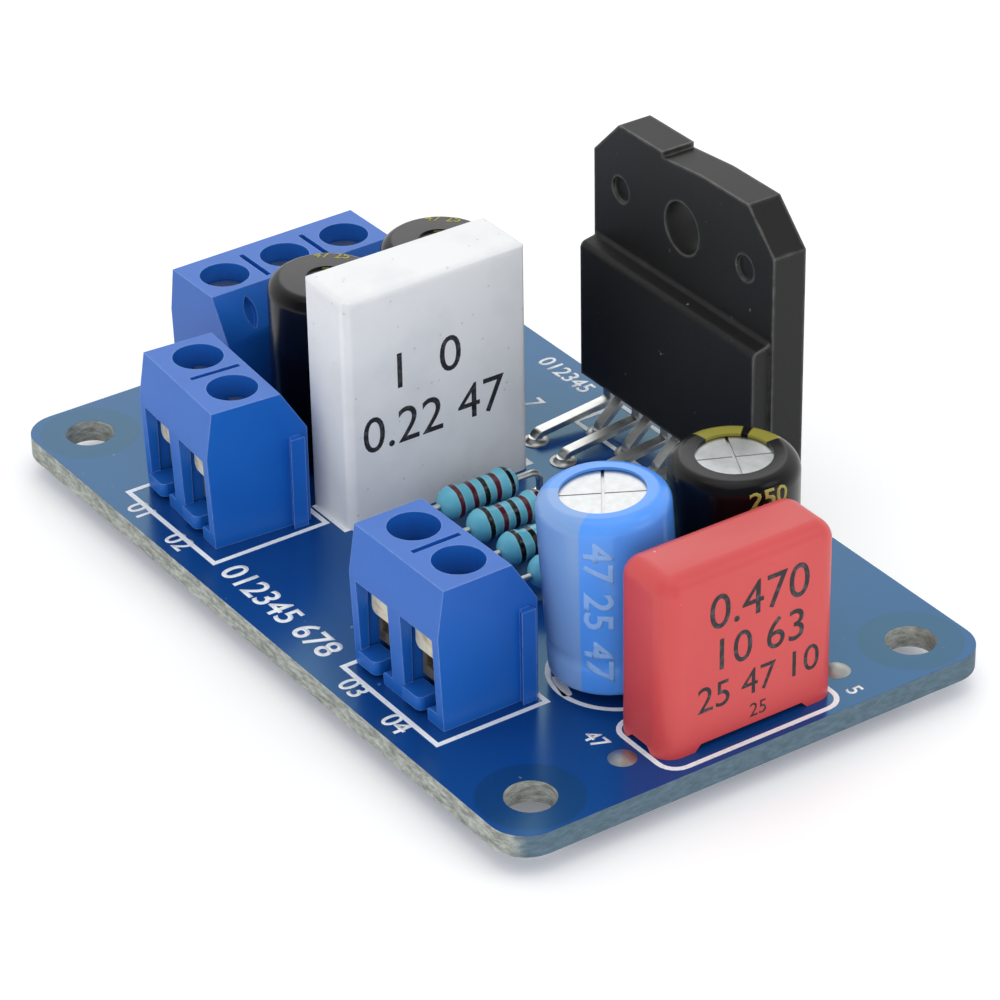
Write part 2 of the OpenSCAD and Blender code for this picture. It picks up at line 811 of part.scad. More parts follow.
// Leads of a capacitor, from the top of its seal to the trimmed ends
module cap_leads(c) {
  reach = board_t + 2 * lead_stub;
  color("#b8babb")
    difference() {
      in_cap_frame(c)
        for (s = [-1, 1])
          translate([0, s * cap_pitch / 2, -reach]) cylinder(d = cap_lead_d, h = reach + c[4] + seal_h);
      translate([c[0], c[1], -lead_stub - reach]) cylinder(r = c[2], h = reach);
    }
}

// Moulded case with ball corners on top and round upright edges
module moulded_case(t, w, h, r) {
  hull()
    for (x = [-1, 1])
      for (y = [-1, 1])
        translate([x * (t / 2 - r), y * (w / 2 - r), 0]) {
          cylinder(r = r, h = r, $fn = case_facets);
          translate([0, 0, h - r]) sphere(r, $fn = case_facets);
        }
}

// Gap between two feet, with sloping sides
module arch(w, h) {
  polygon([[-w / 2 - eps, -eps], [w / 2 + eps, -eps], [w / 2 - h, h], [h - w / 2, h]]);
}

// Moulded film capacitor that stands on four corner feet
module film_capacitor() {
  color("#d8494c")
    translate([film_x, film_y, board_t])
      difference() {
        moulded_case(film_t, film_w, film_h, film_r);
        rotate([90, 0, 90])
          linear_extrude(2 * film_t, center = true) arch(film_w - 2 * film_foot_w, film_foot_h);
        rotate([90, 0, 0])
          linear_extrude(2 * film_w, center = true) arch(film_t - 2 * film_r, film_foot_h);
      }
}

module film_capacitor_leads() {
  color("#b8babb")
    for (h = film_holes)
      straight_lead(h[0], h[1], h[2], board_t + film_foot_h);
}

// Small resistor lying along Y, with two round end caps
module film_resistor(i) {
  cap_r = res_cap_d / 2;
  color("#4fb0d0")
    translate([res_x + i * res_spacing, res_y, board_t + res_axis_z])
      rotate([-90, 0, 0])
        rotate_extrude()
          intersection() {
            union() {
              translate([0, cap_r - res_l / 2]) square([res_body_d / 2, res_l - 2 * cap_r]);
              for (s = [-1, 1])
                translate([0, s * (res_l / 2 - cap_r)]) circle(cap_r);
            }
            translate([0, -res_l]) square([res_cap_d, 2 * res_l]);
          }
}

// Lead of a small resistor: straight out of the body, then bent down into the board
module bent_lead(x, side) {
  axis_z = board_t + res_axis_z;
  run = res_pitch / 2 - res_bend_r - res_l / 2;
  translate([x, res_y, 0])
    rotate([0, 0, side > 0 ? 0 : 180]) {
      translate([0, res_l / 2, axis_z]) rotate([-90, 0, 0]) cylinder(d = res_lead_d, h = run);
      translate([0, res_l / 2 + run, axis_z - res_bend_r])
        rotate([90, 0, 90])
          rotate_extrude(angle = 90)
            translate([res_bend_r, 0]) circle(d = res_lead_d);
      straight_lead(0, res_pitch / 2, res_lead_d, axis_z - res_bend_r);
    }
}

module film_resistor_leads() {
  color("#b8babb")
    for (i = [0 : res_count - 1])
      for (side = [-1, 1])
        bent_lead(res_x + i * res_spacing, side);
}

// Front view of the chip's flange: full height, with chamfered top corners and the mounting hole
module chip_flange() {
  notch_z = chip_h - chip_notch_depth;
  notch_end = chip_notch_w / 2;
  difference() {
    translate([-chip_w / 2, 0]) square([chip_w, chip_h]);
    for (s = [-1, 1])
      translate([s * chip_w / 2, chip_h])
        rotate([0, 0, 45])
          square(chip_chamfer * sqrt(2), center = true);
    polygon([[-notch_end, notch_z], [notch_end, chip_h + eps], [-notch_end, chip_h + eps]]);
    translate([0, chip_hole_z]) circle(d = chip_hole_d);
  }
}

// Section of the chip's thick foot in front of the flange, with a soft brow and a hollow above it
module chip_foot_section() {
  step = chip_t - chip_flange_t;
  low = [step, 0];
  brow = [step, chip_foot_h];
  hollow = [0, chip_foot_h + chip_ledge_h];
  top = [0, chip_h];
  polygon(concat(
    [[-eps, 0], low],
    corner_arc(low, brow, hollow, chip_brow_r),
    corner_arc(brow, hollow, top, chip_hollow_r),
    [[-eps, chip_foot_h]]
  ));
}

module amplifier_chip() {
  foot_w_total = chip_w - 2 * chip_side_inset;
  color("#2b2b2c")
    translate([chip_x, chip_back, chip_z])
      difference() {
        union() {
          rotate([90, 0, 0]) linear_extrude(chip_flange_t) chip_flange();
          translate([0, -chip_flange_t, 0])
            rotate([90, 0, -90])
              linear_extrude(foot_w_total, center = true) chip_foot_section();
        }
        for (s = [-1, 1])
          translate([s * chip_mark_x, chip_mark_depth - chip_flange_t, chip_hole_z])
            rotate([90, 0, 0]) cylinder(d = chip_mark_d, h = chip_flange_t);
      }
}

// Flat strip bent along a path in the YZ plane
module bent_strip(path, t, w) {
  line = round_path(path, chip_bend_r);
  back = path_edge(line, -t / 2);
  rotate([90, 0, 90])
    linear_extrude(w, center = true)
      polygon(concat(path_edge(line, t / 2), [for (i = [len(back) - 1 : -1 : 0]) back[i]]));
}

// One formed chip lead, from the chip's underside to its own row of holes
module chip_lead(i) {
  far = i % 2 == 0;
  knee_z = chip_z - (far ? far_drop : near_drop);
  bend_z = board_t + (far ? far_bend_h : near_bend_h);
  row = chip_lead_row(i);
  translate([chip_lead_x(i), 0, 0]) {
    bent_strip(
      [[chip_lead_exit, chip_z], [chip_lead_exit, knee_z], [row, bend_z], [row, -lead_stub]],
      chip_lead_t, chip_lead_w
    );
    translate([-chip_shoulder_w / 2, chip_lead_exit - chip_lead_t / 2, chip_z - chip_shoulder_h])
      cube([chip_shoulder_w, chip_lead_t, chip_shoulder_h]);
  }
}

module amplifier_chip_leads() {
  color("#b9b9b2")
    for (i = [0 : chip_leads - 1])
      chip_lead(i);
}

blue_shade = "#3f86ea";
black_shade = "#1c1b1d";

circuit_board();
tinned_pads();
solder_joints();
terminal_housing(out_block);  // out_terminal_housing
terminal_housing(in_block);  // in_terminal_housing
terminal_housing(power_block);  // power_terminal_housing
terminal_contacts(out_block);  // out_terminal_contacts
terminal_contacts(in_block);  // in_terminal_contacts
terminal_contacts(power_block);  // power_terminal_contacts
clamp_plate(out_block, 0);  // out_clamp_plate_1
clamp_plate(out_block, 1);  // out_clamp_plate_2
clamp_plate(in_block, 0);  // in_clamp_plate_1
clamp_plate(in_block, 1);  // in_clamp_plate_2
clamp_plate(power_block, 0);  // power_clamp_plate_1
clamp_plate(power_block, 1);  // power_clamp_plate_2
clamp_plate(power_block, 2);  // power_clamp_plate_3
clamp_screw(out_block, 0);  // out_clamp_screw_1
clamp_screw(out_block, 1);  // out_clamp_screw_2
clamp_screw(in_block, 0);  // in_clamp_screw_1
clamp_screw(in_block, 1);  // in_clamp_screw_2
clamp_screw(power_block, 0);  // power_clamp_screw_1
clamp_screw(power_block, 1);  // power_clamp_screw_2
clamp_screw(power_block, 2);  // power_clamp_screw_3
power_resistor();
power_resistor_leads();
cap_sleeve(blue_cap, blue_shade);  // blue_capacitor_sleeve
cap_can(blue_cap);  // blue_capacitor_can
cap_seal(blue_cap);  // blue_capacitor_seal
cap_leads(blue_cap);  // blue_capacitor_leads
cap_sleeve(black_cap, black_shade);  // black_capacitor_sleeve
cap_can(black_cap);  // black_capacitor_can
cap_seal(black_cap);  // black_capacitor_seal
cap_leads(black_cap);  // black_capacitor_leads
cap_sleeve(supply_cap_1, black_shade);  // supply_capacitor_1_sleeve
cap_can(supply_cap_1);  // supply_capacitor_1_can
cap_seal(supply_cap_1);  // supply_capacitor_1_seal
cap_leads(supply_cap_1);  // supply_capacitor_1_leads
cap_sleeve(supply_cap_2, black_shade);  // supply_capacitor_2_sleeve
cap_can(supply_cap_2);  // supply_capacitor_2_can
cap_seal(supply_cap_2);  // supply_capacitor_2_seal
cap_leads(supply_cap_2);  // supply_capacitor_2_leads
film_capacitor();
film_capacitor_leads();
film_resistor(0);  // film_resistor_1
film_resistor(1);  // film_resistor_2
film_resistor(2);  // film_resistor_3
film_resistor(3);  // film_resistor_4
film_resistor_leads();
amplifier_chip();
amplifier_chip_leads();
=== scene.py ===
import json
import math

import bmesh
import bpy
from mathutils import Matrix, Vector

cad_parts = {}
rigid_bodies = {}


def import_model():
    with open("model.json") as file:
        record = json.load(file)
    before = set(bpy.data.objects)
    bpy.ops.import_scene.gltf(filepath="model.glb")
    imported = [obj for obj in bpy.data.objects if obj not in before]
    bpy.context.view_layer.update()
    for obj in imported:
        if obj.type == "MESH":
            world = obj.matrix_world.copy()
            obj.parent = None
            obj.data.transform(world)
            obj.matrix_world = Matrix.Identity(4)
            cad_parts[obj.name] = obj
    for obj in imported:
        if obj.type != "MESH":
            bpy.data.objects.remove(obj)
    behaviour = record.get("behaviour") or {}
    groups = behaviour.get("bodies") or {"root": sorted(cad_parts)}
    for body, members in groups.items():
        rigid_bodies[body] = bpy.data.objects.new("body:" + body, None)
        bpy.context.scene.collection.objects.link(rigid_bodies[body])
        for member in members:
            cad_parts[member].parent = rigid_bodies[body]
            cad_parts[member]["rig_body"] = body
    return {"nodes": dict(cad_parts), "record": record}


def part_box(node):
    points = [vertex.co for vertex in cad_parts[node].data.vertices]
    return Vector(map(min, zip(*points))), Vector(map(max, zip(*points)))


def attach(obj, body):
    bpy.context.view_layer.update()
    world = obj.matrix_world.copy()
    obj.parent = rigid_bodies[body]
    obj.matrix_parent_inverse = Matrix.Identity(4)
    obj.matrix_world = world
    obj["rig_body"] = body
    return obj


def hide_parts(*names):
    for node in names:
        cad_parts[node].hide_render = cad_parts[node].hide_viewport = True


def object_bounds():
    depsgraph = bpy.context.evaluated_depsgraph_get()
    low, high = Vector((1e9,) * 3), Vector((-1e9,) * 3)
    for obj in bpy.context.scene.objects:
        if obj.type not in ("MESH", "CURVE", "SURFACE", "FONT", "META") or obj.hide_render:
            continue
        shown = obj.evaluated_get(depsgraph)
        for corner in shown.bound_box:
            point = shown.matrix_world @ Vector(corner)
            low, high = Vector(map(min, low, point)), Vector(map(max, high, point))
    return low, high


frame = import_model()
cad_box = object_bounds()

MM = 0.001
BLOCKS = {"out": 2, "in": 2, "power": 3}
CAPACITORS = ("blue_capacitor", "black_capacitor", "supply_capacitor_1", "supply_capacitor_2")

# Outlines on the board stand this high, and digits half as high
INK_T = 0.02 * MM
LINE_W = 0.36 * MM

# Digits on a capacitor start this far from its axis before they are bent onto it
WRAP_R = 4.6 * MM

# The supply sleeves shrank this much further in, and their top is taken as the last bit of height
FOLD_BY = 0.5 * MM
FOLD_H = 0.3 * MM

# Painted rings of the small resistors
RING_W = 0.4 * MM
RING_RIM = 0.06 * MM
PALE_RIM = "#8ccbd9"
MAROON = "#571c2e"
SOOT = "#141618"

# Sockets of the colour Mix node, and of the number Mix node
MIX_A, MIX_B, MIX_OUT = 6, 7, 2
FROM, TO = 2, 3


def linear(code):
    """Turns an sRGB hex colour to Blender's linear colour."""
    parts = [int(code[i:i + 2], 16) / 255 for i in (1, 3, 5)]
    return [c / 12.92 if c <= 0.04045 else ((c + 0.055) / 1.055) ** 2.4 for c in parts] + [1]


def per(size_mm):
    """Gives the scale at which a pattern's features are this many millimetres wide."""
    return 1 / (size_mm * MM)


def add_node(tree, kind, inputs=None, **settings):
    """Adds one node with its settings, and sets or links its inputs."""
    node = tree.nodes.new(kind)
    for name, value in settings.items():
        setattr(node, name, value)
    for name, value in (inputs or {}).items():
        if isinstance(value, bpy.types.NodeSocket):
            tree.links.new(value, node.inputs[name])
        else:
            node.inputs[name].default_value = value
    return node


def start_material(name, **sockets):
    """Starts a material, sets what is the same all over it, and returns it with its tree and shader."""
    material = bpy.data.materials.new(name)
    material.use_nodes = True
    shader = material.node_tree.nodes["Principled BSDF"]
    for socket, value in sockets.items():
        shader.inputs[socket.replace("_", " ")].default_value = value
    return material, material.node_tree, shader


# Solder mask: glossy epoxy over copper, mirrors the parts with a cold cast; darker with no copper below
def solder_mask():
    holes = next(m for m in frame["record"]["mounts"] if m["name"] == "board_holes")["dims"]
    hole_x = holes["spacing_x_mm"] / 2 * MM
    hole_y = holes["spacing_y_mm"] / 2 * MM
    bare_r = 3.5 * MM
    material, tree, shader = start_material(
        "solder_mask", Roughness=0.22, IOR=1.55, Specular_Tint=(0.25, 1, 1, 1))
    place = add_node(tree, "ShaderNodeTexCoord").outputs["Object"]
    corner = add_node(tree, "ShaderNodeVectorMath", {0: place}, operation="ABSOLUTE")
    flat = add_node(tree, "ShaderNodeVectorMath", {
        0: corner.outputs[0], 1: (1, 1, 0)}, operation="MULTIPLY")
    away = add_node(tree, "ShaderNodeVectorMath", {
        0: flat.outputs[0], 1: (hole_x, hole_y, 0)}, operation="DISTANCE")
    copper = add_node(tree, "ShaderNodeMapRange", {
        "Value": away.outputs["Value"], "From Min": bare_r - 0.1 * MM, "From Max": bare_r + 0.1 * MM})
    flow = add_node(tree, "ShaderNodeTexNoise", {"Vector": place, "Scale": per(9), "Detail": 2})
    tone = add_node(tree, "ShaderNodeMix", {
        0: flow.outputs["Fac"], MIX_A: linear("#0c3a7c"), MIX_B: linear("#11448c")}, data_type="RGBA")
    mask = add_node(tree, "ShaderNodeMix", {
        0: copper.outputs[0], MIX_A: linear("#0e3a70"), MIX_B: tone.outputs[MIX_OUT]}, data_type="RGBA")
    dust = add_node(tree, "ShaderNodeTexNoise", {"Vector": place, "Scale": per(0.7), "Detail": 1})
    specks = add_node(tree, "ShaderNodeMapRange", {
        "Value": dust.outputs["Fac"], "From Min": 0.78, "From Max": 0.84, "To Max": 0.35})
    colour = add_node(tree, "ShaderNodeMix", {
        0: specks.outputs[0], MIX_A: mask.outputs[MIX_OUT], MIX_B: linear("#a9b7c9")}, data_type="RGBA")
    tree.links.new(colour.outputs[MIX_OUT], shader.inputs["Base Color"])
    orange_peel = add_node(tree, "ShaderNodeTexNoise", {"Vector": place, "Scale": per(1.3), "Detail": 2})
    bump = add_node(tree, "ShaderNodeBump", {
        "Height": orange_peel.outputs["Fac"], "Strength": 0.12, "Distance": 0.03 * MM})
    tree.links.new(bump.outputs["Normal"], shader.inputs["Normal"])
    return material


# Glass-fibre laminate: the long edges are snapped and show pale glass; the short ends are milled slate grey
def cut_laminate():
    end_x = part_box("circuit_board")[1].x
    material, tree, shader = start_material("cut_laminate", Roughness=0.7, IOR=1.5)
    place = add_node(tree, "ShaderNodeTexCoord").outputs["Object"]
    layered = add_node(tree, "ShaderNodeMapping", {"Vector": place, "Scale": (1, 1, 3)})
    bundles = add_node(tree, "ShaderNodeTexNoise", {
        "Vector": layered.outputs[0], "Scale": per(0.8), "Detail": 4, "Roughness": 0.7})
    spread = add_node(tree, "ShaderNodeMapRange", {
        "Value": bundles.outputs["Fac"], "From Min": 0.38, "From Max": 0.68})
    snapped = add_node(tree, "ShaderNodeMix", {
        0: spread.outputs[0], MIX_A: linear("#7f837d"), MIX_B: linear("#c0c4bd")}, data_type="RGBA")
    milled = add_node(tree, "ShaderNodeMix", {
        0: spread.outputs[0], MIX_A: linear("#4c6572"), MIX_B: linear("#61798a")}, data_type="RGBA")
    split = add_node(tree, "ShaderNodeSeparateXYZ", {0: place})
    along = add_node(tree, "ShaderNodeMath", {0: split.outputs["X"]}, operation="ABSOLUTE")
    at_end = add_node(tree, "ShaderNodeMapRange", {
        "Value": along.outputs[0], "From Min": end_x - 1.2 * MM, "From Max": end_x - 0.4 * MM})
    colour = add_node(tree, "ShaderNodeMix", {
        0: at_end.outputs[0], MIX_A: snapped.outputs[MIX_OUT],
        MIX_B: milled.outputs[MIX_OUT]}, data_type="RGBA")
    tree.links.new(colour.outputs[MIX_OUT], shader.inputs["Base Color"])
    bump = add_node(tree, "ShaderNodeBump", {
        "Height": bundles.outputs["Fac"], "Strength": 0.4, "Distance": 0.04 * MM})
    tree.links.new(bump.outputs["Normal"], shader.inputs["Normal"])
    return material


# Nylon, injection moulded: satin blue with flow marks, a fine grain, and pale edges that are partly rubbed
# and partly a painted highlight
def moulded_nylon():
    material, tree, shader = start_material("moulded_nylon", Roughness=0.4, IOR=1.53)
    place = add_node(tree, "ShaderNodeTexCoord").outputs["Object"]
    flow = add_node(tree, "ShaderNodeTexNoise", {"Vector": place, "Scale": per(4), "Detail": 3})
    body = add_node(tree, "ShaderNodeMix", {
        0: flow.outputs["Fac"], MIX_A: linear("#0f5dbc"), MIX_B: linear("#1c6ac8")}, data_type="RGBA")
    # Pale edges: partly real rubbing, partly a painted highlight on the rounded edges
    edge = add_node(tree, "ShaderNodeBevel", {"Radius": 0.12 * MM}, samples=4)
    plain = add_node(tree, "ShaderNodeNewGeometry").outputs["Normal"]
    turned = add_node(tree, "ShaderNodeVectorMath", {0: edge.outputs[0], 1: plain}, operation="DISTANCE")
    edge_breakup = add_node(tree, "ShaderNodeTexNoise", {"Vector": place, "Scale": per(0.6), "Detail": 3})
    worn_and_lit_edge = add_node(tree, "ShaderNodeMath", {
        0: turned.outputs["Value"], 1: edge_breakup.outputs["Fac"]}, operation="MULTIPLY")
    edge_wear_and_highlight = add_node(tree, "ShaderNodeMapRange", {
        "Value": worn_and_lit_edge.outputs[0], "From Min": 0.08, "From Max": 0.4, "To Max": 0.55})
    colour = add_node(tree, "ShaderNodeMix", {
        0: edge_wear_and_highlight.outputs[0], MIX_A: body.outputs[MIX_OUT], MIX_B: linear("#9fbbe6")}, data_type="RGBA")
    tree.links.new(colour.outputs[MIX_OUT], shader.inputs["Base Color"])
    grain = add_node(tree, "ShaderNodeTexNoise", {"Vector": place, "Scale": per(0.25), "Detail": 3})
    bump = add_node(tree, "ShaderNodeBump", {
        "Height": grain.outputs["Fac"], "Strength": 0.25, "Distance": 0.02 * MM})
    tree.links.new(bump.outputs["Normal"], shader.inputs["Normal"])
    return material


# Tin-plated steel, stamped: warm grey-white, dull, with darker stains from handling; a darker grey-brown
# copy is painted shade on the contacts
def stamped_steel(name, clean, stained):
    material, tree, shader = start_material(name, Metallic=0.35, Roughness=0.42)
    place = add_node(tree, "ShaderNodeTexCoord").outputs["Object"]
    stains = add_node(tree, "ShaderNodeTexNoise", {"Vector": place, "Scale": per(0.9), "Detail": 4})
    spread = add_node(tree, "ShaderNodeMapRange", {
        "Value": stains.outputs["Fac"], "From Min": 0.5, "From Max": 0.7})
    colour = add_node(tree, "ShaderNodeMix", {
        0: spread.outputs[0], MIX_A: linear(clean), MIX_B: linear(stained)}, data_type="RGBA")
    tree.links.new(colour.outputs[MIX_OUT], shader.inputs["Base Color"])
    bump = add_node(tree, "ShaderNodeBump", {
        "Height": stains.outputs["Fac"], "Strength": 0.2, "Distance": 0.03 * MM})
    tree.links.new(bump.outputs["Normal"], shader.inputs["Normal"])
    return material


# Zinc-plated steel, turned: bright grey with a cloudy plating
def turned_zinc():
    material, tree, shader = start_material("turned_zinc", Metallic=1, Roughness=0.32)
    place = add_node(tree, "ShaderNodeTexCoord").outputs["Object"]
    cloud = add_node(tree, "ShaderNodeTexNoise", {"Vector": place, "Scale": per(0.8), "Detail": 3})
    colour = add_node(tree, "ShaderNodeMix", {
        0: cloud.outputs["Fac"], MIX_A: linear("#b4b3ab"), MIX_B: linear("#dcdcd6")}, data_type="RGBA")
    tree.links.new(colour.outputs[MIX_OUT], shader.inputs["Base Color"])
    bump = add_node(tree, "ShaderNodeBump", {
        "Height": cloud.outputs["Fac"], "Strength": 0.2, "Distance": 0.02 * MM})
    tree.links.new(bump.outputs["Normal"], shader.inputs["Normal"])
    return material


# Solder tin, dipped and frozen: soft grey shine with a slightly wavy skin, duller where it is old
def frozen_tin(name, dark, light, dullness):
    material, tree, shader = start_material(name, Metallic=1, Roughness=dullness)
    place = add_node(tree, "ShaderNodeTexCoord").outputs["Object"]
    skin = add_node(tree, "ShaderNodeTexNoise", {"Vector": place, "Scale": per(0.5), "Detail": 3})
    colour = add_node(tree, "ShaderNodeMix", {
        0: skin.outputs["Fac"], MIX_A: linear(dark), MIX_B: linear(light)}, data_type="RGBA")
    tree.links.new(colour.outputs[MIX_OUT], shader.inputs["Base Color"])
    bump = add_node(tree, "ShaderNodeBump", {
        "Height": skin.outputs["Fac"], "Strength": 0.3, "Distance": 0.04 * MM})
    tree.links.new(bump.outputs["Normal"], shader.inputs["Normal"])
    return material


# Fired ceramic: chalky white with small pits and faint grey smudges
def fired_ceramic():
    material, tree, shader = start_material("fired_ceramic", Roughness=0.55, IOR=1.5)
    place = add_node(tree, "ShaderNodeTexCoord").outputs["Object"]
    smudge = add_node(tree, "ShaderNodeTexNoise", {"Vector": place, "Scale": per(3.5), "Detail": 4})
    spread = add_node(tree, "ShaderNodeMapRange", {
        "Value": smudge.outputs["Fac"], "From Min": 0.45, "From Max": 0.75})
    clay = add_node(tree, "ShaderNodeMix", {
        0: spread.outputs[0], MIX_A: linear("#eef0f1"), MIX_B: linear("#e5e7e9")}, data_type="RGBA")
    cells = add_node(tree, "ShaderNodeTexVoronoi", {"Vector": place, "Scale": per(1.1), "Randomness": 1})
    pits = add_node(tree, "ShaderNodeMapRange", {
        "Value": cells.outputs["Distance"], "From Min": 0.05, "From Max": 0.11, "To Min": 0.4, "To Max": 0})
    colour = add_node(tree, "ShaderNodeMix", {
        0: pits.outputs[0], MIX_A: clay.outputs[MIX_OUT], MIX_B: linear("#a3a8ad")}, data_type="RGBA")
    tree.links.new(colour.outputs[MIX_OUT], shader.inputs["Base Color"])
    grit = add_node(tree, "ShaderNodeTexNoise", {"Vector": place, "Scale": per(0.22), "Detail": 2})
    height = add_node(tree, "ShaderNodeMath", {
        0: grit.outputs["Fac"], 1: pits.outputs[0]}, operation="SUBTRACT")
    bump = add_node(tree, "ShaderNodeBump", {
        "Height": height.outputs[0], "Strength": 0.3, "Distance": 0.03 * MM})
    tree.links.new(bump.outputs["Normal"], shader.inputs["Normal"])
    return material


# PVC shrink sleeve: glossy skin drawn tight over the can, with a printed stripe or bars
def shrink_sleeve(name, axis, body, ior, print_colour, arcs, low, high):
    """Prints on the sleeve between angles round an upright axis, from the height low to the height high."""
    material, tree, shader = start_material(name, Roughness=0.22, IOR=ior)
    place = add_node(tree, "ShaderNodeTexCoord").outputs["Object"]
    centred = add_node(tree, "ShaderNodeMapping", {"Vector": place, "Location": (-axis.x, -axis.y, 0)})
    split = add_node(tree, "ShaderNodeSeparateXYZ", {0: centred.outputs[0]})
    angle = add_node(tree, "ShaderNodeMath", {
        0: split.outputs["Y"], 1: split.outputs["X"]}, operation="ARCTAN2")
    inked = None
    for middle, width in arcs:
        off = add_node(tree, "ShaderNodeMath", {
            0: angle.outputs[0], 1: math.radians(middle)}, operation="SUBTRACT")
        wrapped = add_node(tree, "ShaderNodeMath", {
            0: off.outputs[0], 1: math.pi, 2: -math.pi}, operation="WRAP")
        near = add_node(tree, "ShaderNodeMath", {0: wrapped.outputs[0]}, operation="ABSOLUTE")
        inside = add_node(tree, "ShaderNodeMapRange", {
            "Value": near.outputs[0], "From Min": math.radians(width / 2 - 1),
            "From Max": math.radians(width / 2 + 1), "To Min": 1, "To Max": 0})
        if inked is None:
            inked = inside.outputs[0]
        else:
            both = add_node(tree, "ShaderNodeMath", {0: inked, 1: inside.outputs[0]}, operation="MAXIMUM")
            inked = both.outputs[0]
    above = add_node(tree, "ShaderNodeMath", {0: split.outputs["Z"], 1: low}, operation="GREATER_THAN")
    below = add_node(tree, "ShaderNodeMath", {0: split.outputs["Z"], 1: high}, operation="LESS_THAN")
    band = add_node(tree, "ShaderNodeMath", {
        0: above.outputs[0], 1: below.outputs[0]}, operation="MULTIPLY")
    printed = add_node(tree, "ShaderNodeMath", {0: band.outputs[0], 1: inked}, operation="MULTIPLY")
    cloud = add_node(tree, "ShaderNodeTexNoise", {"Vector": place, "Scale": per(3), "Detail": 2})
    skin = add_node(tree, "ShaderNodeMix", {
        0: cloud.outputs["Fac"], MIX_A: linear(body[0]), MIX_B: linear(body[1])}, data_type="RGBA")
    colour = add_node(tree, "ShaderNodeMix", {
        0: printed.outputs[0], MIX_A: skin.outputs[MIX_OUT], MIX_B: linear(print_colour)}, data_type="RGBA")
    tree.links.new(colour.outputs[MIX_OUT], shader.inputs["Base Color"])
    pulled = add_node(tree, "ShaderNodeMapping", {"Vector": place, "Scale": (1, 1, 0.3)})
    ripple = add_node(tree, "ShaderNodeTexNoise", {
        "Vector": pulled.outputs[0], "Scale": per(1.6), "Detail": 2})
    bump = add_node(tree, "ShaderNodeBump", {
        "Height": ripple.outputs["Fac"], "Strength": 0.2, "Distance": 0.05 * MM})
    tree.links.new(bump.outputs["Normal"], shader.inputs["Normal"])
    return material


# Aluminium, deep drawn and pressed: silver with a fine matt bloom, gently wavy so its quarters differ
def drawn_aluminium():
    material, tree, shader = start_material("drawn_aluminium", Metallic=1, Roughness=0.36)
    place = add_node(tree, "ShaderNodeTexCoord").outputs["Object"]
    bloom = add_node(tree, "ShaderNodeTexNoise", {"Vector": place, "Scale": per(0.5), "Detail": 4})
    colour = add_node(tree, "ShaderNodeMix", {
        0: bloom.outputs["Fac"], MIX_A: linear("#babcbe"), MIX_B: linear("#d9dbdb")}, data_type="RGBA")
    tree.links.new(colour.outputs[MIX_OUT], shader.inputs["Base Color"])
    wave = add_node(tree, "ShaderNodeTexNoise", {"Vector": place, "Scale": per(3), "Detail": 1})
    dents = add_node(tree, "ShaderNodeBump", {
        "Height": wave.outputs["Fac"], "Strength": 0.5, "Distance": 0.3 * MM})
    bump = add_node(tree, "ShaderNodeBump", {
        "Height": bloom.outputs["Fac"], "Strength": 0.12, "Distance": 0.02 * MM,
        "Normal": dents.outputs["Normal"]})
    tree.links.new(bump.outputs["Normal"], shader.inputs["Normal"])
    return material


# Rubber seal: near black, matt, with a dusty bloom
def bloomed_rubber():
    material, tree, shader = start_material("bloomed_rubber", Roughness=0.8, IOR=1.52)
    place = add_node(tree, "ShaderNodeTexCoord").outputs["Object"]
    bloom = add_node(tree, "ShaderNodeTexNoise", {"Vector": place, "Scale": per(1), "Detail": 3})
    colour = add_node(tree, "ShaderNodeMix", {
        0: bloom.outputs["Fac"], MIX_A: linear("#191817"), MIX_B: linear("#2c2a28")}, data_type="RGBA")
    tree.links.new(colour.outputs[MIX_OUT], shader.inputs["Base Color"])
    return material


# Polyester case, injection moulded: satin red with a pebbled skin and a few pale dust specks
def pebbled_polyester():
    material, tree, shader = start_material("pebbled_polyester", Roughness=0.38, IOR=1.53)
    place = add_node(tree, "ShaderNodeTexCoord").outputs["Object"]
    flow = add_node(tree, "ShaderNodeTexNoise", {"Vector": place, "Scale": per(6), "Detail": 2})
    body = add_node(tree, "ShaderNodeMix", {
        0: flow.outputs["Fac"], MIX_A: linear("#cb4446"), MIX_B: linear("#d44e4d")}, data_type="RGBA")
    dust = add_node(tree, "ShaderNodeTexNoise", {"Vector": place, "Scale": per(0.45), "Detail": 1})
    specks = add_node(tree, "ShaderNodeMapRange", {
        "Value": dust.outputs["Fac"], "From Min": 0.79, "From Max": 0.83, "To Max": 0.6})
    colour = add_node(tree, "ShaderNodeMix", {
        0: specks.outputs[0], MIX_A: body.outputs[MIX_OUT], MIX_B: linear("#f3dcd8")}, data_type="RGBA")
    tree.links.new(colour.outputs[MIX_OUT], shader.inputs["Base Color"])
    pebbles = add_node(tree, "ShaderNodeTexNoise", {"Vector": place, "Scale": per(0.35), "Detail": 2})
    bump = add_node(tree, "ShaderNodeBump", {
        "Height": pebbles.outputs["Fac"], "Strength": 0.25, "Distance": 0.03 * MM})
    tree.links.new(bump.outputs["Normal"], shader.inputs["Normal"])
    return material


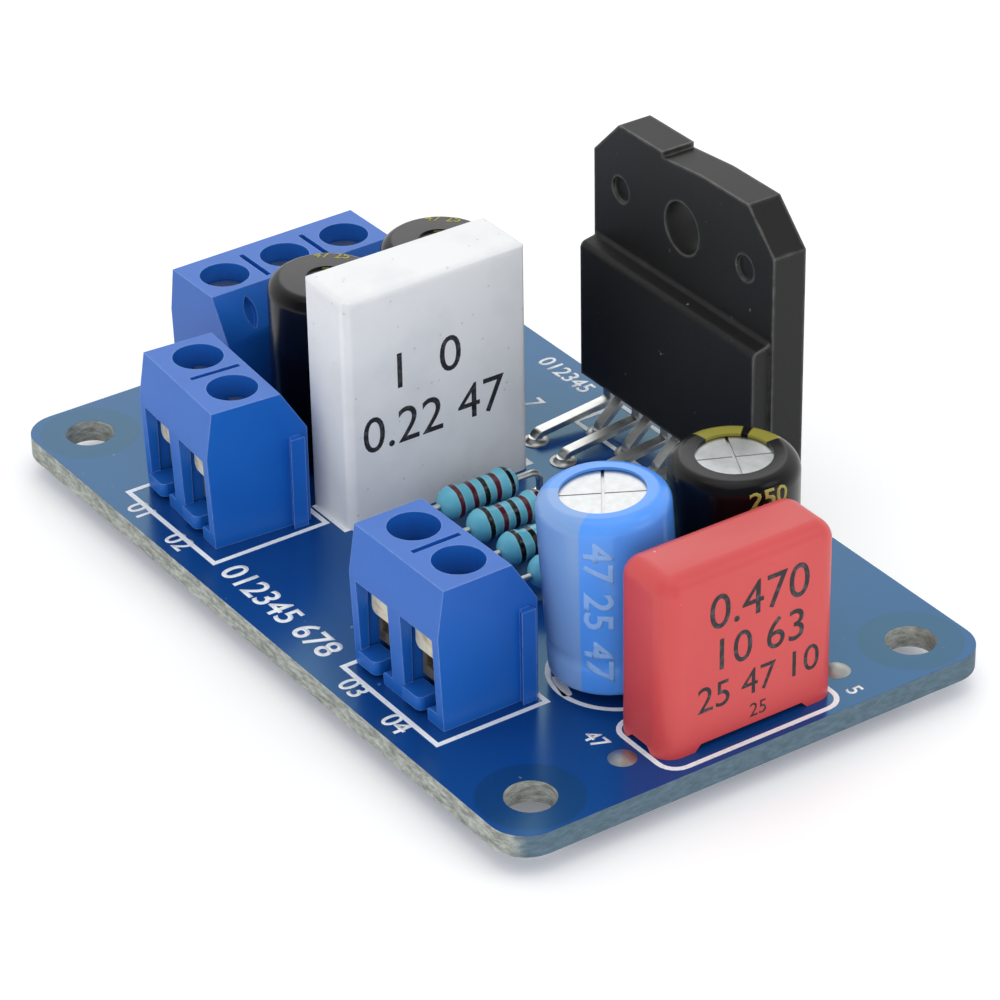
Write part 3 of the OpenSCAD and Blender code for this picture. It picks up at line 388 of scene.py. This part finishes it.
# Lacquer, dipped: glossy sky blue with painted colour rings, each with a thin pale rim
def ringed_lacquer(name, middle_y, rings):
    material, tree, shader = start_material(name, Roughness=0.14, IOR=1.52)
    place = add_node(tree, "ShaderNodeTexCoord").outputs["Object"]
    split = add_node(tree, "ShaderNodeSeparateXYZ", {0: place})
    waver = add_node(tree, "ShaderNodeTexNoise", {"Vector": place, "Scale": per(1.2), "Detail": 1})
    shift = add_node(tree, "ShaderNodeMath", {
        0: waver.outputs["Fac"], 1: 0.18 * MM, 2: split.outputs["Y"]}, operation="MULTIPLY_ADD")
    cloud = add_node(tree, "ShaderNodeTexNoise", {"Vector": place, "Scale": per(2), "Detail": 2})
    lacquer = add_node(tree, "ShaderNodeMix", {
        0: cloud.outputs["Fac"], MIX_A: linear("#58b2ce"), MIX_B: linear("#74c6dc")}, data_type="RGBA")
    colour = lacquer.outputs[MIX_OUT]
    for at, shade in rings:
        off = add_node(tree, "ShaderNodeMath", {
            0: shift.outputs[0], 1: middle_y + (at + 0.09) * MM}, operation="SUBTRACT")
        near = add_node(tree, "ShaderNodeMath", {0: off.outputs[0]}, operation="ABSOLUTE")
        for reach, layer in ((RING_W / 2 + RING_RIM, PALE_RIM), (RING_W / 2, shade)):
            inside = add_node(tree, "ShaderNodeMapRange", {
                "Value": near.outputs[0], "From Min": reach - 0.03 * MM, "From Max": reach + 0.03 * MM,
                "To Min": 1, "To Max": 0})
            painted = add_node(tree, "ShaderNodeMix", {
                0: inside.outputs[0], MIX_A: colour, MIX_B: linear(layer)}, data_type="RGBA")
            colour = painted.outputs[MIX_OUT]
    tree.links.new(colour, shader.inputs["Base Color"])
    drips = add_node(tree, "ShaderNodeTexNoise", {"Vector": place, "Scale": per(1), "Detail": 2})
    bump = add_node(tree, "ShaderNodeBump", {
        "Height": drips.outputs["Fac"], "Strength": 0.25, "Distance": 0.06 * MM})
    tree.links.new(bump.outputs["Normal"], shader.inputs["Normal"])
    return material


# Epoxy moulding compound: matt charcoal with fine grit, pale dust, and pale edges that are partly rub marks
# and partly a painted highlight
def moulded_epoxy():
    material, tree, shader = start_material("moulded_epoxy", Roughness=0.5, IOR=1.45)
    place = add_node(tree, "ShaderNodeTexCoord").outputs["Object"]
    grit = add_node(tree, "ShaderNodeTexNoise", {
        "Vector": place, "Scale": per(0.3), "Detail": 4, "Roughness": 0.7})
    body = add_node(tree, "ShaderNodeMix", {
        0: grit.outputs["Fac"], MIX_A: linear("#0d0d0e"), MIX_B: linear("#171718")}, data_type="RGBA")
    # Pale edges: partly real rub marks, partly a painted highlight where the rounded edges catch the light
    edge = add_node(tree, "ShaderNodeBevel", {"Radius": 0.4 * MM}, samples=4)
    plain = add_node(tree, "ShaderNodeNewGeometry").outputs["Normal"]
    turned = add_node(tree, "ShaderNodeVectorMath", {0: edge.outputs[0], 1: plain}, operation="DISTANCE")
    edge_breakup = add_node(tree, "ShaderNodeTexNoise", {"Vector": place, "Scale": per(0.8), "Detail": 4})
    worn_and_lit_edge = add_node(tree, "ShaderNodeMath", {
        0: turned.outputs["Value"], 1: edge_breakup.outputs["Fac"]}, operation="MULTIPLY")
    edge_wear_and_highlight = add_node(tree, "ShaderNodeMapRange", {
        "Value": worn_and_lit_edge.outputs[0], "From Min": 0.12, "From Max": 0.45, "To Max": 0.6})
    worn_and_lit_body = add_node(tree, "ShaderNodeMix", {
        0: edge_wear_and_highlight.outputs[0], MIX_A: body.outputs[MIX_OUT], MIX_B: linear("#8d8d88")}, data_type="RGBA")
    dust = add_node(tree, "ShaderNodeTexNoise", {"Vector": place, "Scale": per(0.5), "Detail": 1})
    specks = add_node(tree, "ShaderNodeMapRange", {
        "Value": dust.outputs["Fac"], "From Min": 0.78, "From Max": 0.82, "To Max": 0.5})
    colour = add_node(tree, "ShaderNodeMix", {
        0: specks.outputs[0], MIX_A: worn_and_lit_body.outputs[MIX_OUT],
        MIX_B: linear("#a5a5a0")}, data_type="RGBA")
    tree.links.new(colour.outputs[MIX_OUT], shader.inputs["Base Color"])
    bump = add_node(tree, "ShaderNodeBump", {
        "Height": grit.outputs["Fac"], "Strength": 0.3, "Distance": 0.03 * MM})
    tree.links.new(bump.outputs["Normal"], shader.inputs["Normal"])
    return material


# Printing ink: flat, slightly worn where the print is thin
def printing_ink(name, full, thin):
    material, tree, shader = start_material(name, Roughness=0.6, IOR=1.5)
    place = add_node(tree, "ShaderNodeTexCoord").outputs["Object"]
    worn = add_node(tree, "ShaderNodeTexNoise", {"Vector": place, "Scale": per(0.4), "Detail": 3})
    spread = add_node(tree, "ShaderNodeMapRange", {
        "Value": worn.outputs["Fac"], "From Min": 0.5, "From Max": 0.75})
    colour = add_node(tree, "ShaderNodeMix", {
        0: spread.outputs[0], MIX_A: linear(full), MIX_B: linear(thin)}, data_type="RGBA")
    tree.links.new(colour.outputs[MIX_OUT], shader.inputs["Base Color"])
    return material


def pick(*objects):
    """Selects these objects alone, the first one active."""
    bpy.ops.object.select_all(action="DESELECT")
    for obj in objects:
        obj.select_set(True)
    bpy.context.view_layer.objects.active = objects[0]


def select_in_edit(obj, part, test):
    """In edit mode, selects the vertices, edges or faces of a mesh that pass a test."""
    bpy.ops.mesh.select_all(action="DESELECT")
    mesh = bmesh.from_edit_mesh(obj.data)
    for item in getattr(mesh, part):
        item.select_set(test(item))
    bmesh.update_edit_mesh(obj.data)


def node_copy(node):
    """Copies a solid's mesh to a new object, with its triangles merged to whole faces."""
    piece = bpy.data.objects.new(node + "_finish", frame["nodes"][node].data.copy())
    bpy.context.scene.collection.objects.link(piece)
    pick(piece)
    bpy.ops.mesh.customdata_custom_splitnormals_clear()
    bpy.ops.object.mode_set(mode="EDIT")
    bpy.ops.mesh.select_all(action="SELECT")
    bpy.ops.mesh.remove_doubles(threshold=0.0005 * MM)
    bpy.ops.mesh.dissolve_limited(angle_limit=math.radians(0.3))
    bpy.ops.object.mode_set(mode="OBJECT")
    return piece


def stands_for(piece, node, *materials):
    """Lets a finished piece take a solid's place, with its materials."""
    piece.data.materials.clear()
    for material in materials:
        piece.data.materials.append(material)
    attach(piece, frame["nodes"][node]["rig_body"])
    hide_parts(node)


def soften(piece, width_mm, segments=2):
    """Rounds the sharp edges of a piece and smooths its shading."""
    pick(piece)
    if width_mm:
        bevel = piece.modifiers.new("soft_edges", "BEVEL")
        bevel.width = width_mm * MM
        bevel.segments = segments
        bevel.limit_method = "ANGLE"
        bevel.angle_limit = math.radians(35)
        bpy.ops.object.modifier_apply(modifier=bevel.name)
    bpy.ops.object.shade_smooth_by_angle(angle=math.radians(35))
    if width_mm:
        even = piece.modifiers.new("even_faces", "WEIGHTED_NORMAL")
        even.keep_sharp = True
        bpy.ops.object.modifier_apply(modifier=even.name)


def finish_node(node, width_mm, *materials):
    """Replaces a solid by its own shape with soft edges and smooth shading."""
    piece = node_copy(node)
    soften(piece, width_mm)
    stands_for(piece, node, *materials)
    return piece


def paint(node, material):
    """Gives a solid that stays as it is its material."""
    mesh = frame["nodes"][node].data
    mesh.materials.clear()
    mesh.materials.append(material)


# Board: mask on its faces, bare laminate on its cut edges and in its holes
def finish_board(mask, laminate):
    board = finish_node("circuit_board", 0.05, mask, laminate)
    for face in board.data.polygons:
        face.material_index = 0 if abs(face.normal.z) > 0.5 else 1


# Sleeves of the supply capacitors: their tops shrank further in over the cans
def widen_fold(sleeve, by):
    corners = [Vector(c) for c in sleeve.bound_box]
    middle = sum(corners, Vector()) / 8
    top = max(c.z for c in corners)
    near_top = [v.co for v in sleeve.data.vertices if v.co.z > top - FOLD_H]
    fold_r = min((co - middle).xy.length for co in near_top)
    reach = fold_r + 0.05 * MM
    pick(sleeve)
    bpy.ops.object.mode_set(mode="EDIT")
    bpy.ops.mesh.select_mode(type="VERT")
    select_in_edit(sleeve, "verts", lambda v: v.co.z > top - FOLD_H and (v.co - middle).xy.length < reach)
    grow = (fold_r - by) / fold_r
    bpy.ops.transform.resize(value=(grow, grow, 1), center_override=(middle.x, middle.y, top))
    bpy.ops.object.mode_set(mode="OBJECT")


def loose_boxes(node):
    """Gives the box of each separate solid of a node."""
    whole = node_copy(node)
    bpy.ops.object.mode_set(mode="EDIT")
    bpy.ops.mesh.separate(type="LOOSE")
    bpy.ops.object.mode_set(mode="OBJECT")
    boxes = []
    parts = list(bpy.context.selected_objects)
    for part in parts:
        corners = [Vector(c) for c in part.bound_box]
        boxes.append((Vector(map(min, *corners)), Vector(map(max, *corners))))
    for part in parts:
        bpy.data.objects.remove(part)
    return boxes


# Solder on the board's top: a low hollow cone that climbs each lead
def solder_collar(pad_r, lead_r, height):
    bpy.ops.object.select_all(action="DESELECT")
    bpy.ops.mesh.primitive_circle_add(vertices=28, radius=pad_r, fill_type="NGON")
    collar = bpy.context.active_object
    bpy.ops.object.mode_set(mode="EDIT")
    bpy.ops.mesh.select_all(action="SELECT")
    steps = 5
    radius = pad_r
    for step in range(1, steps + 1):
        share = step / steps
        goal = lead_r + (pad_r - lead_r) * (1 - math.sin(share * math.pi / 2))
        before = share - 1 / steps
        rise = height * (math.cos(before * math.pi / 2) - math.cos(share * math.pi / 2))
        bpy.ops.mesh.extrude_region_move(TRANSFORM_OT_translate={"value": (0, 0, rise)})
        bpy.ops.transform.resize(value=(goal / radius, goal / radius, 1))
        radius = goal
    bpy.ops.mesh.select_all(action="SELECT")
    bpy.ops.mesh.normals_make_consistent(inside=False)
    bpy.ops.object.mode_set(mode="OBJECT")
    bpy.ops.object.shade_smooth_by_angle(angle=math.radians(50))
    return collar


def join_as(name, parts, body, material):
    """Joins parts to one piece that rides on a body."""
    pick(*parts)
    if len(parts) > 1:
        bpy.ops.object.join()
    piece = bpy.context.active_object
    bpy.ops.object.transform_apply(location=True, rotation=True, scale=True)
    piece.name = name
    piece.data.materials.clear()
    piece.data.materials.append(material)
    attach(piece, body)
    return piece


def solder_on_top(tin, board_top):
    """Models one collar and sets a copy of it, at its own size, on each tinned ring."""
    model_r = 1 * MM
    model = solder_collar(model_r, 0.5 * model_r, 0.35 * MM)
    collars = []
    for low, high in loose_boxes("tinned_pads"):
        size = high - low
        is_ring = size.z < 0.1 * MM
        if not is_ring:
            continue
        collar = bpy.data.objects.new("collar", model.data.copy())
        bpy.context.scene.collection.objects.link(collar)
        grow = size.x / 2 / model_r
        collar.scale = (grow, grow, 1)
        collar.location = ((low.x + high.x) / 2, (low.y + high.y) / 2, board_top + size.z * 0.6)
        collars.append(collar)
    bpy.data.objects.remove(model)
    join_as("solder_collars", collars, "board", tin)


def printed_frame(low, high, top, corner=0.0):
    """Draws an outline of ink from corner to corner, its corners rounded if wanted."""
    bpy.ops.object.select_all(action="DESELECT")
    bpy.ops.mesh.primitive_plane_add(size=1, location=((low[0] + high[0]) / 2, (low[1] + high[1]) / 2, top))
    outline = bpy.context.active_object
    outline.scale = (high[0] - low[0], high[1] - low[1], 1)
    bpy.ops.object.transform_apply(location=True, rotation=True, scale=True)
    bpy.ops.object.mode_set(mode="EDIT")
    bpy.ops.mesh.select_all(action="SELECT")
    if corner:
        bpy.ops.mesh.bevel(offset=corner, segments=6, affect="VERTICES")
    bpy.ops.mesh.inset(thickness=LINE_W, depth=0)
    bpy.ops.mesh.delete(type="FACE")
    bpy.ops.mesh.select_all(action="SELECT")
    bpy.ops.mesh.extrude_region_move(TRANSFORM_OT_translate={"value": (0, 0, INK_T)})
    bpy.ops.object.mode_set(mode="OBJECT")
    return outline


def printed_ring(x, y, radius, top):
    """Draws a round outline of ink."""
    bpy.ops.object.select_all(action="DESELECT")
    bpy.ops.mesh.primitive_circle_add(vertices=64, radius=radius, fill_type="NGON", location=(x, y, top))
    ring = bpy.context.active_object
    bpy.ops.object.transform_apply(location=True, rotation=True, scale=True)
    bpy.ops.object.mode_set(mode="EDIT")
    bpy.ops.mesh.select_all(action="SELECT")
    bpy.ops.mesh.inset(thickness=LINE_W, depth=0)
    bpy.ops.mesh.delete(type="FACE")
    bpy.ops.mesh.select_all(action="SELECT")
    bpy.ops.mesh.extrude_region_move(TRANSFORM_OT_translate={"value": (0, 0, INK_T)})
    bpy.ops.object.mode_set(mode="OBJECT")
    return ring


def printed_bar(x, y, length, width, turn, top):
    """Draws a short bar of ink with rounded ends."""
    bpy.ops.object.select_all(action="DESELECT")
    bpy.ops.mesh.primitive_plane_add(size=1)
    bar = bpy.context.active_object
    bar.scale = (length, width, 1)
    bar.rotation_euler.z = turn
    bar.location = (x, y, top)
    bpy.ops.object.transform_apply(location=True, rotation=True, scale=True)
    bpy.ops.object.mode_set(mode="EDIT")
    bpy.ops.mesh.select_all(action="SELECT")
    bpy.ops.mesh.bevel(offset=0.3 * width, segments=3, affect="VERTICES")
    bpy.ops.mesh.extrude_region_move(TRANSFORM_OT_translate={"value": (0, 0, INK_T)})
    bpy.ops.object.mode_set(mode="OBJECT")
    return bar


def digits(text, height, place, across, up, weight=0, round_node=None):
    """Writes digits of a height at a place, along one direction, with another direction up.

    A weight makes them bold, and a round solid behind them bends them onto it.
    """
    bpy.ops.object.select_all(action="DESELECT")
    bpy.ops.object.text_add()
    writing = bpy.context.active_object
    writing.data.body = text
    writing.data.align_x = "CENTER"
    writing.data.align_y = "CENTER"
    writing.data.size = height / 0.7
    writing.data.resolution_u = 5
    writing.data.offset = weight * height
    bpy.ops.object.convert(target="MESH")
    writing = bpy.context.active_object
    across = Vector(across)
    up = Vector(up)
    out = across.cross(up)
    writing.matrix_world = Matrix.Translation(place) @ Matrix((across, up, out)).transposed().to_4x4()
    bpy.ops.object.transform_apply(location=True, rotation=True, scale=True)
    bpy.ops.object.mode_set(mode="EDIT")
    bpy.ops.mesh.select_all(action="SELECT")
    bpy.ops.mesh.remove_doubles(threshold=0.001 * MM)
    if round_node:
        bpy.ops.mesh.quads_convert_to_tris()
        bpy.ops.mesh.subdivide(number_cuts=3)
    bpy.ops.object.mode_set(mode="OBJECT")
    if round_node:
        wrap = writing.modifiers.new("wrap", "SHRINKWRAP")
        wrap.target = frame["nodes"][round_node]
        wrap.wrap_method = "NEAREST_SURFACEPOINT"
        wrap.wrap_mode = "OUTSIDE_SURFACE"
        wrap.offset = INK_T / 4
        bpy.ops.object.modifier_apply(modifier=wrap.name)
    body = writing.modifiers.new("ink", "SOLIDIFY")
    body.thickness = INK_T / 2
    body.offset = 1
    bpy.ops.object.modifier_apply(modifier=body.name)
    return writing


def board_print(ink, board_top):
    """Prints the outlines of the parts and plain numbers on the board."""
    parts = []
    for name in ("out", "in"):
        low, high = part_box(name + "_terminal_housing")
        parts.append(printed_frame(
            (low.x - 0.1 * MM, low.y - 0.9 * MM), (high.x + 0.7 * MM, high.y + 0.1 * MM), board_top))
    low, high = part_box("power_resistor")
    parts.append(printed_frame(
        (low.x + 0.6 * MM, low.y - 0.35 * MM), (high.x - 0.3 * MM, high.y + 0.5 * MM), board_top))
    low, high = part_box("film_capacitor")
    parts.append(printed_frame(
        (low.x - 0.3 * MM, low.y - 0.4 * MM), (high.x + 1.15 * MM, high.y + 0.1 * MM), board_top, 1.5 * MM))
    low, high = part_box("blue_capacitor_sleeve")
    middle = (low + high) / 2
    ring_x = middle.x + 0.25 * MM
    ring_y = middle.y + 0.4 * MM
    parts.append(printed_ring(ring_x, ring_y, 4.65 * MM, board_top))
    parts.append(printed_bar(
        ring_x - 0.6 * MM, ring_y - 3.95 * MM, 2.4 * MM, 0.7 * MM, math.radians(-15), board_top))
    low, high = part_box("amplifier_chip")
    parts.append(printed_frame(
        (low.x + 0.8 * MM, low.y - 1.2 * MM), (high.x - 0.8 * MM, high.y - 1 * MM), board_top))
    board_low, board_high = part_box("circuit_board")
    chip_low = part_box("amplifier_chip")[0]
    cement_low, cement_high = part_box("power_resistor")
    film_low, film_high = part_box("film_capacitor")
    between_blocks = (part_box("out_terminal_housing")[1].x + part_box("in_terminal_housing")[0].x) / 2
    numbers = [
        ("012345 678", 1.9, between_blocks, board_low.y + 2.4 * MM),
        ("012345", 1.35, chip_low.x - 4.8 * MM, board_high.y - 1.85 * MM),
        ("7", 1.5, cement_low.x - 2.1 * MM, cement_high.y + 5.2 * MM),
        ("47", 1.2, film_low.x + 0.5 * MM, film_low.y - 1.85 * MM),
        ("5", 1.1, film_high.x + 0.3 * MM, film_high.y + 1.15 * MM),
    ]
    for name, marks in {"out": ("01", "02"), "in": ("03", "04")}.items():
        for i, mark in enumerate(marks):
            low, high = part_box(f"{name}_clamp_screw_{i + 1}")
            numbers.append((mark, 1.5, (low.x + high.x) / 2, board_low.y + 1.35 * MM))
    for mark, height, x, y in numbers:
        parts.append(digits(mark, height * MM, Vector((x, y, board_top)), (1, 0, 0), (0, 1, 0), 0.02))
    join_as("board_print", parts, "board", ink)


def part_print(black_ink, pale_ink, gold_ink):
    """Writes plain ratings on the cement resistor and on the capacitors."""
    low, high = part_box("power_resistor")
    middle = (low + high) / 2
    rows = ((2.2, -1.05, "1  0", 2.7), (-2.05, -0.45, "0.22 47", 2.7))
    parts = []
    for up, side, text, size in rows:
        place = Vector((high.x, middle.y + side * MM, middle.z + up * MM))
        parts.append(digits(text, size * MM, place, (0, 1, 0), (0, 0, 1)))
    join_as("resistor_rating", parts, "board", black_ink)
    low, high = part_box("film_capacitor")
    middle = (low + high) / 2
    rows = ((3.2, "0.470", 2.5), (0, "10 63", 2.3), (-2.9, "25 47 10", 1.9), (-5.05, "25", 1))
    parts = []
    for up, text, size in rows:
        place = Vector((high.x, middle.y + 0.5 * MM, middle.z + up * MM))
        parts.append(digits(text, size * MM, place, (0, 1, 0), (0, 0, 1)))
    join_as("film_rating", parts, "board", black_ink)
    low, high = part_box("blue_capacitor_sleeve")
    middle = (low + high) / 2
    columns = ((-46, "47 25 47", 2, 0.03), (-21, "47 25 47 25 47 25", 0.5, 0))
    parts = []
    for heading, text, size, weight in columns:
        towards = Matrix.Rotation(math.radians(heading), 3, "Z") @ Vector((1, 0, 0))
        down = Vector((0, 0, -1))
        parts.append(digits(text, size * MM, middle + towards * WRAP_R, down, towards.cross(down), weight,
                            "blue_capacitor_sleeve"))
    join_as("blue_rating", parts, "board", pale_ink)
    low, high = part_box("black_capacitor_sleeve")
    middle = (low + high) / 2
    towards = Matrix.Rotation(math.radians(-5), 3, "Z") @ Vector((1, 0, 0))
    up = Vector((0, 0, 1))
    parts = []
    for drop, text, size in ((1.1, "250", 1.5), (3.1, "47", 1.5)):
        place = Vector((middle.x, middle.y, high.z - drop * MM)) + towards * WRAP_R
        parts.append(digits(text, size * MM, place, up.cross(towards), up, 0.03, "black_capacitor_sleeve"))
    for name in ("supply_capacitor_1_sleeve", "supply_capacitor_2_sleeve"):
        low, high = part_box(name)
        middle = (low + high) / 2
        outward = Matrix.Rotation(math.radians(140), 3, "Z") @ Vector((1, 0, 0))
        place = Vector((middle.x, middle.y, high.z)) + outward * 2.9 * MM
        parts.append(digits("47 25", 0.8 * MM, place, outward.cross(up), outward, 0.02, name))
    join_as("gold_rating", parts, "board", gold_ink)


def build_object():
    board_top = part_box("circuit_board")[1].z
    nylon = moulded_nylon()
    plate_steel = stamped_steel("plate_steel", "#ece5cc", "#b9a578")
    # The contacts get a darker copy of the stamped steel: painted shade for their place deep inside the
    # housing
    body_steel = stamped_steel("body_steel", "#7d7462", "#4f4636")
    zinc = turned_zinc()
    tin = frozen_tin("bright_tin", "#c4c6c2", "#eceeea", 0.36)
    old_tin = frozen_tin("old_tin", "#a5a8a4", "#cccfca", 0.48)
    aluminium = drawn_aluminium()
    rubber = bloomed_rubber()

    finish_board(solder_mask(), cut_laminate())
    for block, poles in BLOCKS.items():
        finish_node(block + "_terminal_housing", 0.16, nylon)
        # The contacts take the darker steel, which is painted shade
        paint(block + "_terminal_contacts", body_steel)
        for i in range(1, poles + 1):
            finish_node(f"{block}_clamp_plate_{i}", 0.06, plate_steel)
            finish_node(f"{block}_clamp_screw_{i}", 0.06, zinc)

    finish_node("power_resistor", 0, fired_ceramic())
    finish_node("film_capacitor", 0, pebbled_polyester())
    finish_node("amplifier_chip", 0.2, moulded_epoxy())
    finish_node("amplifier_chip_leads", 0.05, tin)

    black = ("#060509", "#0b0a0f")
    prints = {
        "blue_capacitor": (("#4b94f7", "#5ba0f9"), 1.5, "#7ba3dc", ((-98, 74),), 0, 16),
        "black_capacitor": (black, 1.38, "#8f8a3a", ((161, 55), (106, 34)), 13.9, 15),
        "supply_capacitor_1": (black, 1.38, "#8f8a3a", ((150, 20),), 14.4, 15.3),
        "supply_capacitor_2": (black, 1.38, "#8f8a3a", ((150, 20),), 14.4, 15.3),
    }
    for name in CAPACITORS:
        low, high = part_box(name + "_sleeve")
        body, ior, shade, arcs, from_mm, to_mm = prints[name]
        sleeve = shrink_sleeve(
            name + "_sleeve_skin", (low + high) / 2, body, ior, shade, arcs, from_mm * MM, to_mm * MM)
        piece = finish_node(name + "_sleeve", 0, sleeve)
        if name.startswith("supply"):
            widen_fold(piece, FOLD_BY)
        finish_node(name + "_can", 0.04, aluminium)
        paint(name + "_seal", rubber)
        paint(name + "_leads", tin)

    ring_places = (-1.95, -0.75, 0.2, 1.13, 2.2)
    ring_shades = (
        (MAROON, MAROON, SOOT, MAROON, SOOT),
        (SOOT, MAROON, SOOT, MAROON, MAROON),
        (SOOT, SOOT, MAROON, SOOT, MAROON),
        (MAROON, SOOT, SOOT, MAROON, MAROON),
    )
    for i, shades in enumerate(ring_shades, 1):
        node = f"film_resistor_{i}"
        low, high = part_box(node)
        rings = tuple(zip(ring_places, shades))
        finish_node(node, 0, ringed_lacquer(f"ringed_lacquer_{i}", (low.y + high.y) / 2, rings))

    for node in ("power_resistor_leads", "film_capacitor_leads", "film_resistor_leads", "solder_joints"):
        paint(node, tin)
    paint("tinned_pads", old_tin)
    solder_on_top(tin, board_top)
    board_print(printing_ink("white_print", "#f3f7fa", "#dfe7ee"), board_top)
    part_print(
        printing_ink("black_print", "#26262a", "#55555a"),
        printing_ink("pale_print", "#8ab6f2", "#7cabee"),
        printing_ink("gold_print", "#a8a04c", "#8f8a3a"))


def build_stage():
    """Makes the pale floor, the soft light and the camera of the photograph."""
    low, high = cad_box
    bpy.ops.object.select_all(action="DESELECT")
    bpy.ops.mesh.primitive_plane_add(size=4, location=(0, 0, low.z))
    floor = bpy.context.active_object
    floor.name = "floor"
    material, tree, shader = start_material("white_paper", Roughness=0.9, Base_Color=linear("#f4f5f6"))
    seen = add_node(tree, "ShaderNodeLightPath")
    tree.links.new(seen.outputs["Is Camera Ray"], shader.inputs["Emission Strength"])
    shader.inputs["Emission Color"].default_value = linear("#707070")
    floor.data.materials.append(material)

    world = bpy.data.worlds.new("white_room")
    bpy.context.scene.world = world
    world.use_nodes = True
    tree = world.node_tree
    path = add_node(tree, "ShaderNodeLightPath")
    direct = add_node(tree, "ShaderNodeMath", {
        0: path.outputs["Is Camera Ray"], 1: path.outputs["Is Glossy Ray"]}, operation="MAXIMUM")
    shown = add_node(tree, "ShaderNodeMath", {
        0: direct.outputs[0], 1: path.outputs["Is Transmission Ray"]}, operation="MAXIMUM")
    way = add_node(tree, "ShaderNodeTexCoord").outputs["Generated"]
    camera_side = (0.71, -0.48, 0.52)
    facing = add_node(tree, "ShaderNodeVectorMath", {0: way, 1: camera_side}, operation="DOT_PRODUCT")
    gloss = add_node(tree, "ShaderNodeMapRange", {
        "Value": facing.outputs["Value"], "From Min": -0.2, "From Max": 0.6, "To Min": 0.9, "To Max": 0.15})
    mirrored = add_node(tree, "ShaderNodeMix", {
        0: path.outputs["Is Camera Ray"], FROM: gloss.outputs[0], TO: 1.0})
    strength = add_node(tree, "ShaderNodeMix", {0: shown.outputs[0], FROM: 0.87, TO: mirrored.outputs[0]})
    background = tree.nodes["Background"]
    background.inputs["Color"].default_value = linear("#ffffff")
    tree.links.new(strength.outputs[0], background.inputs["Strength"])

    lamps = (
        ("softbox_above", (0, 0, 0.5), 0.4, 0.32, True),
        ("softbox_back_left", (-0.45, 0.3, 0.35), 0.3, 0.3, True),
        ("softbox_back_right", (0.3, 0.28, 0.41), 0.2, 0.14, True),
        ("softbox_right", (0.55, 0.3, 0.12), 0.3, 0.25, True),
        ("softbox_front", (0.4, -0.4, 0.12), 0.4, 0.55, False),
    )
    for name, place, size, power, in_mirrors in lamps:
        bpy.ops.object.light_add(type="AREA", location=place)
        lamp = bpy.context.active_object
        lamp.name = name
        lamp.data.size = size
        lamp.data.energy = power
        lamp.visible_glossy = in_mirrors
        lamp.rotation_euler = (Vector((0, 0, 0.005)) - Vector(place)).to_track_quat("-Z", "Y").to_euler()

    camera = bpy.data.objects.new("camera", bpy.data.cameras.new("camera"))
    bpy.context.scene.collection.objects.link(camera)
    right = Vector((0.564896, 0.825014, -0.015627))
    down = Vector((0.421109, -0.304521, -0.854362))
    ahead = Vector((-0.709619, 0.476045, -0.519443))
    eye = Vector((206.168, -136.886, 154.570)) * MM
    camera.matrix_world = Matrix.Translation(eye) @ Matrix((right, -down, -ahead)).transposed().to_4x4()
    camera.data.sensor_width = 36
    camera.data.lens = 154.79
    camera.data.clip_start = 0.01
    camera.data.clip_end = 10
    bpy.context.scene.camera = camera
    bpy.context.scene.view_settings.view_transform = "Standard"


build_object()
build_stage()
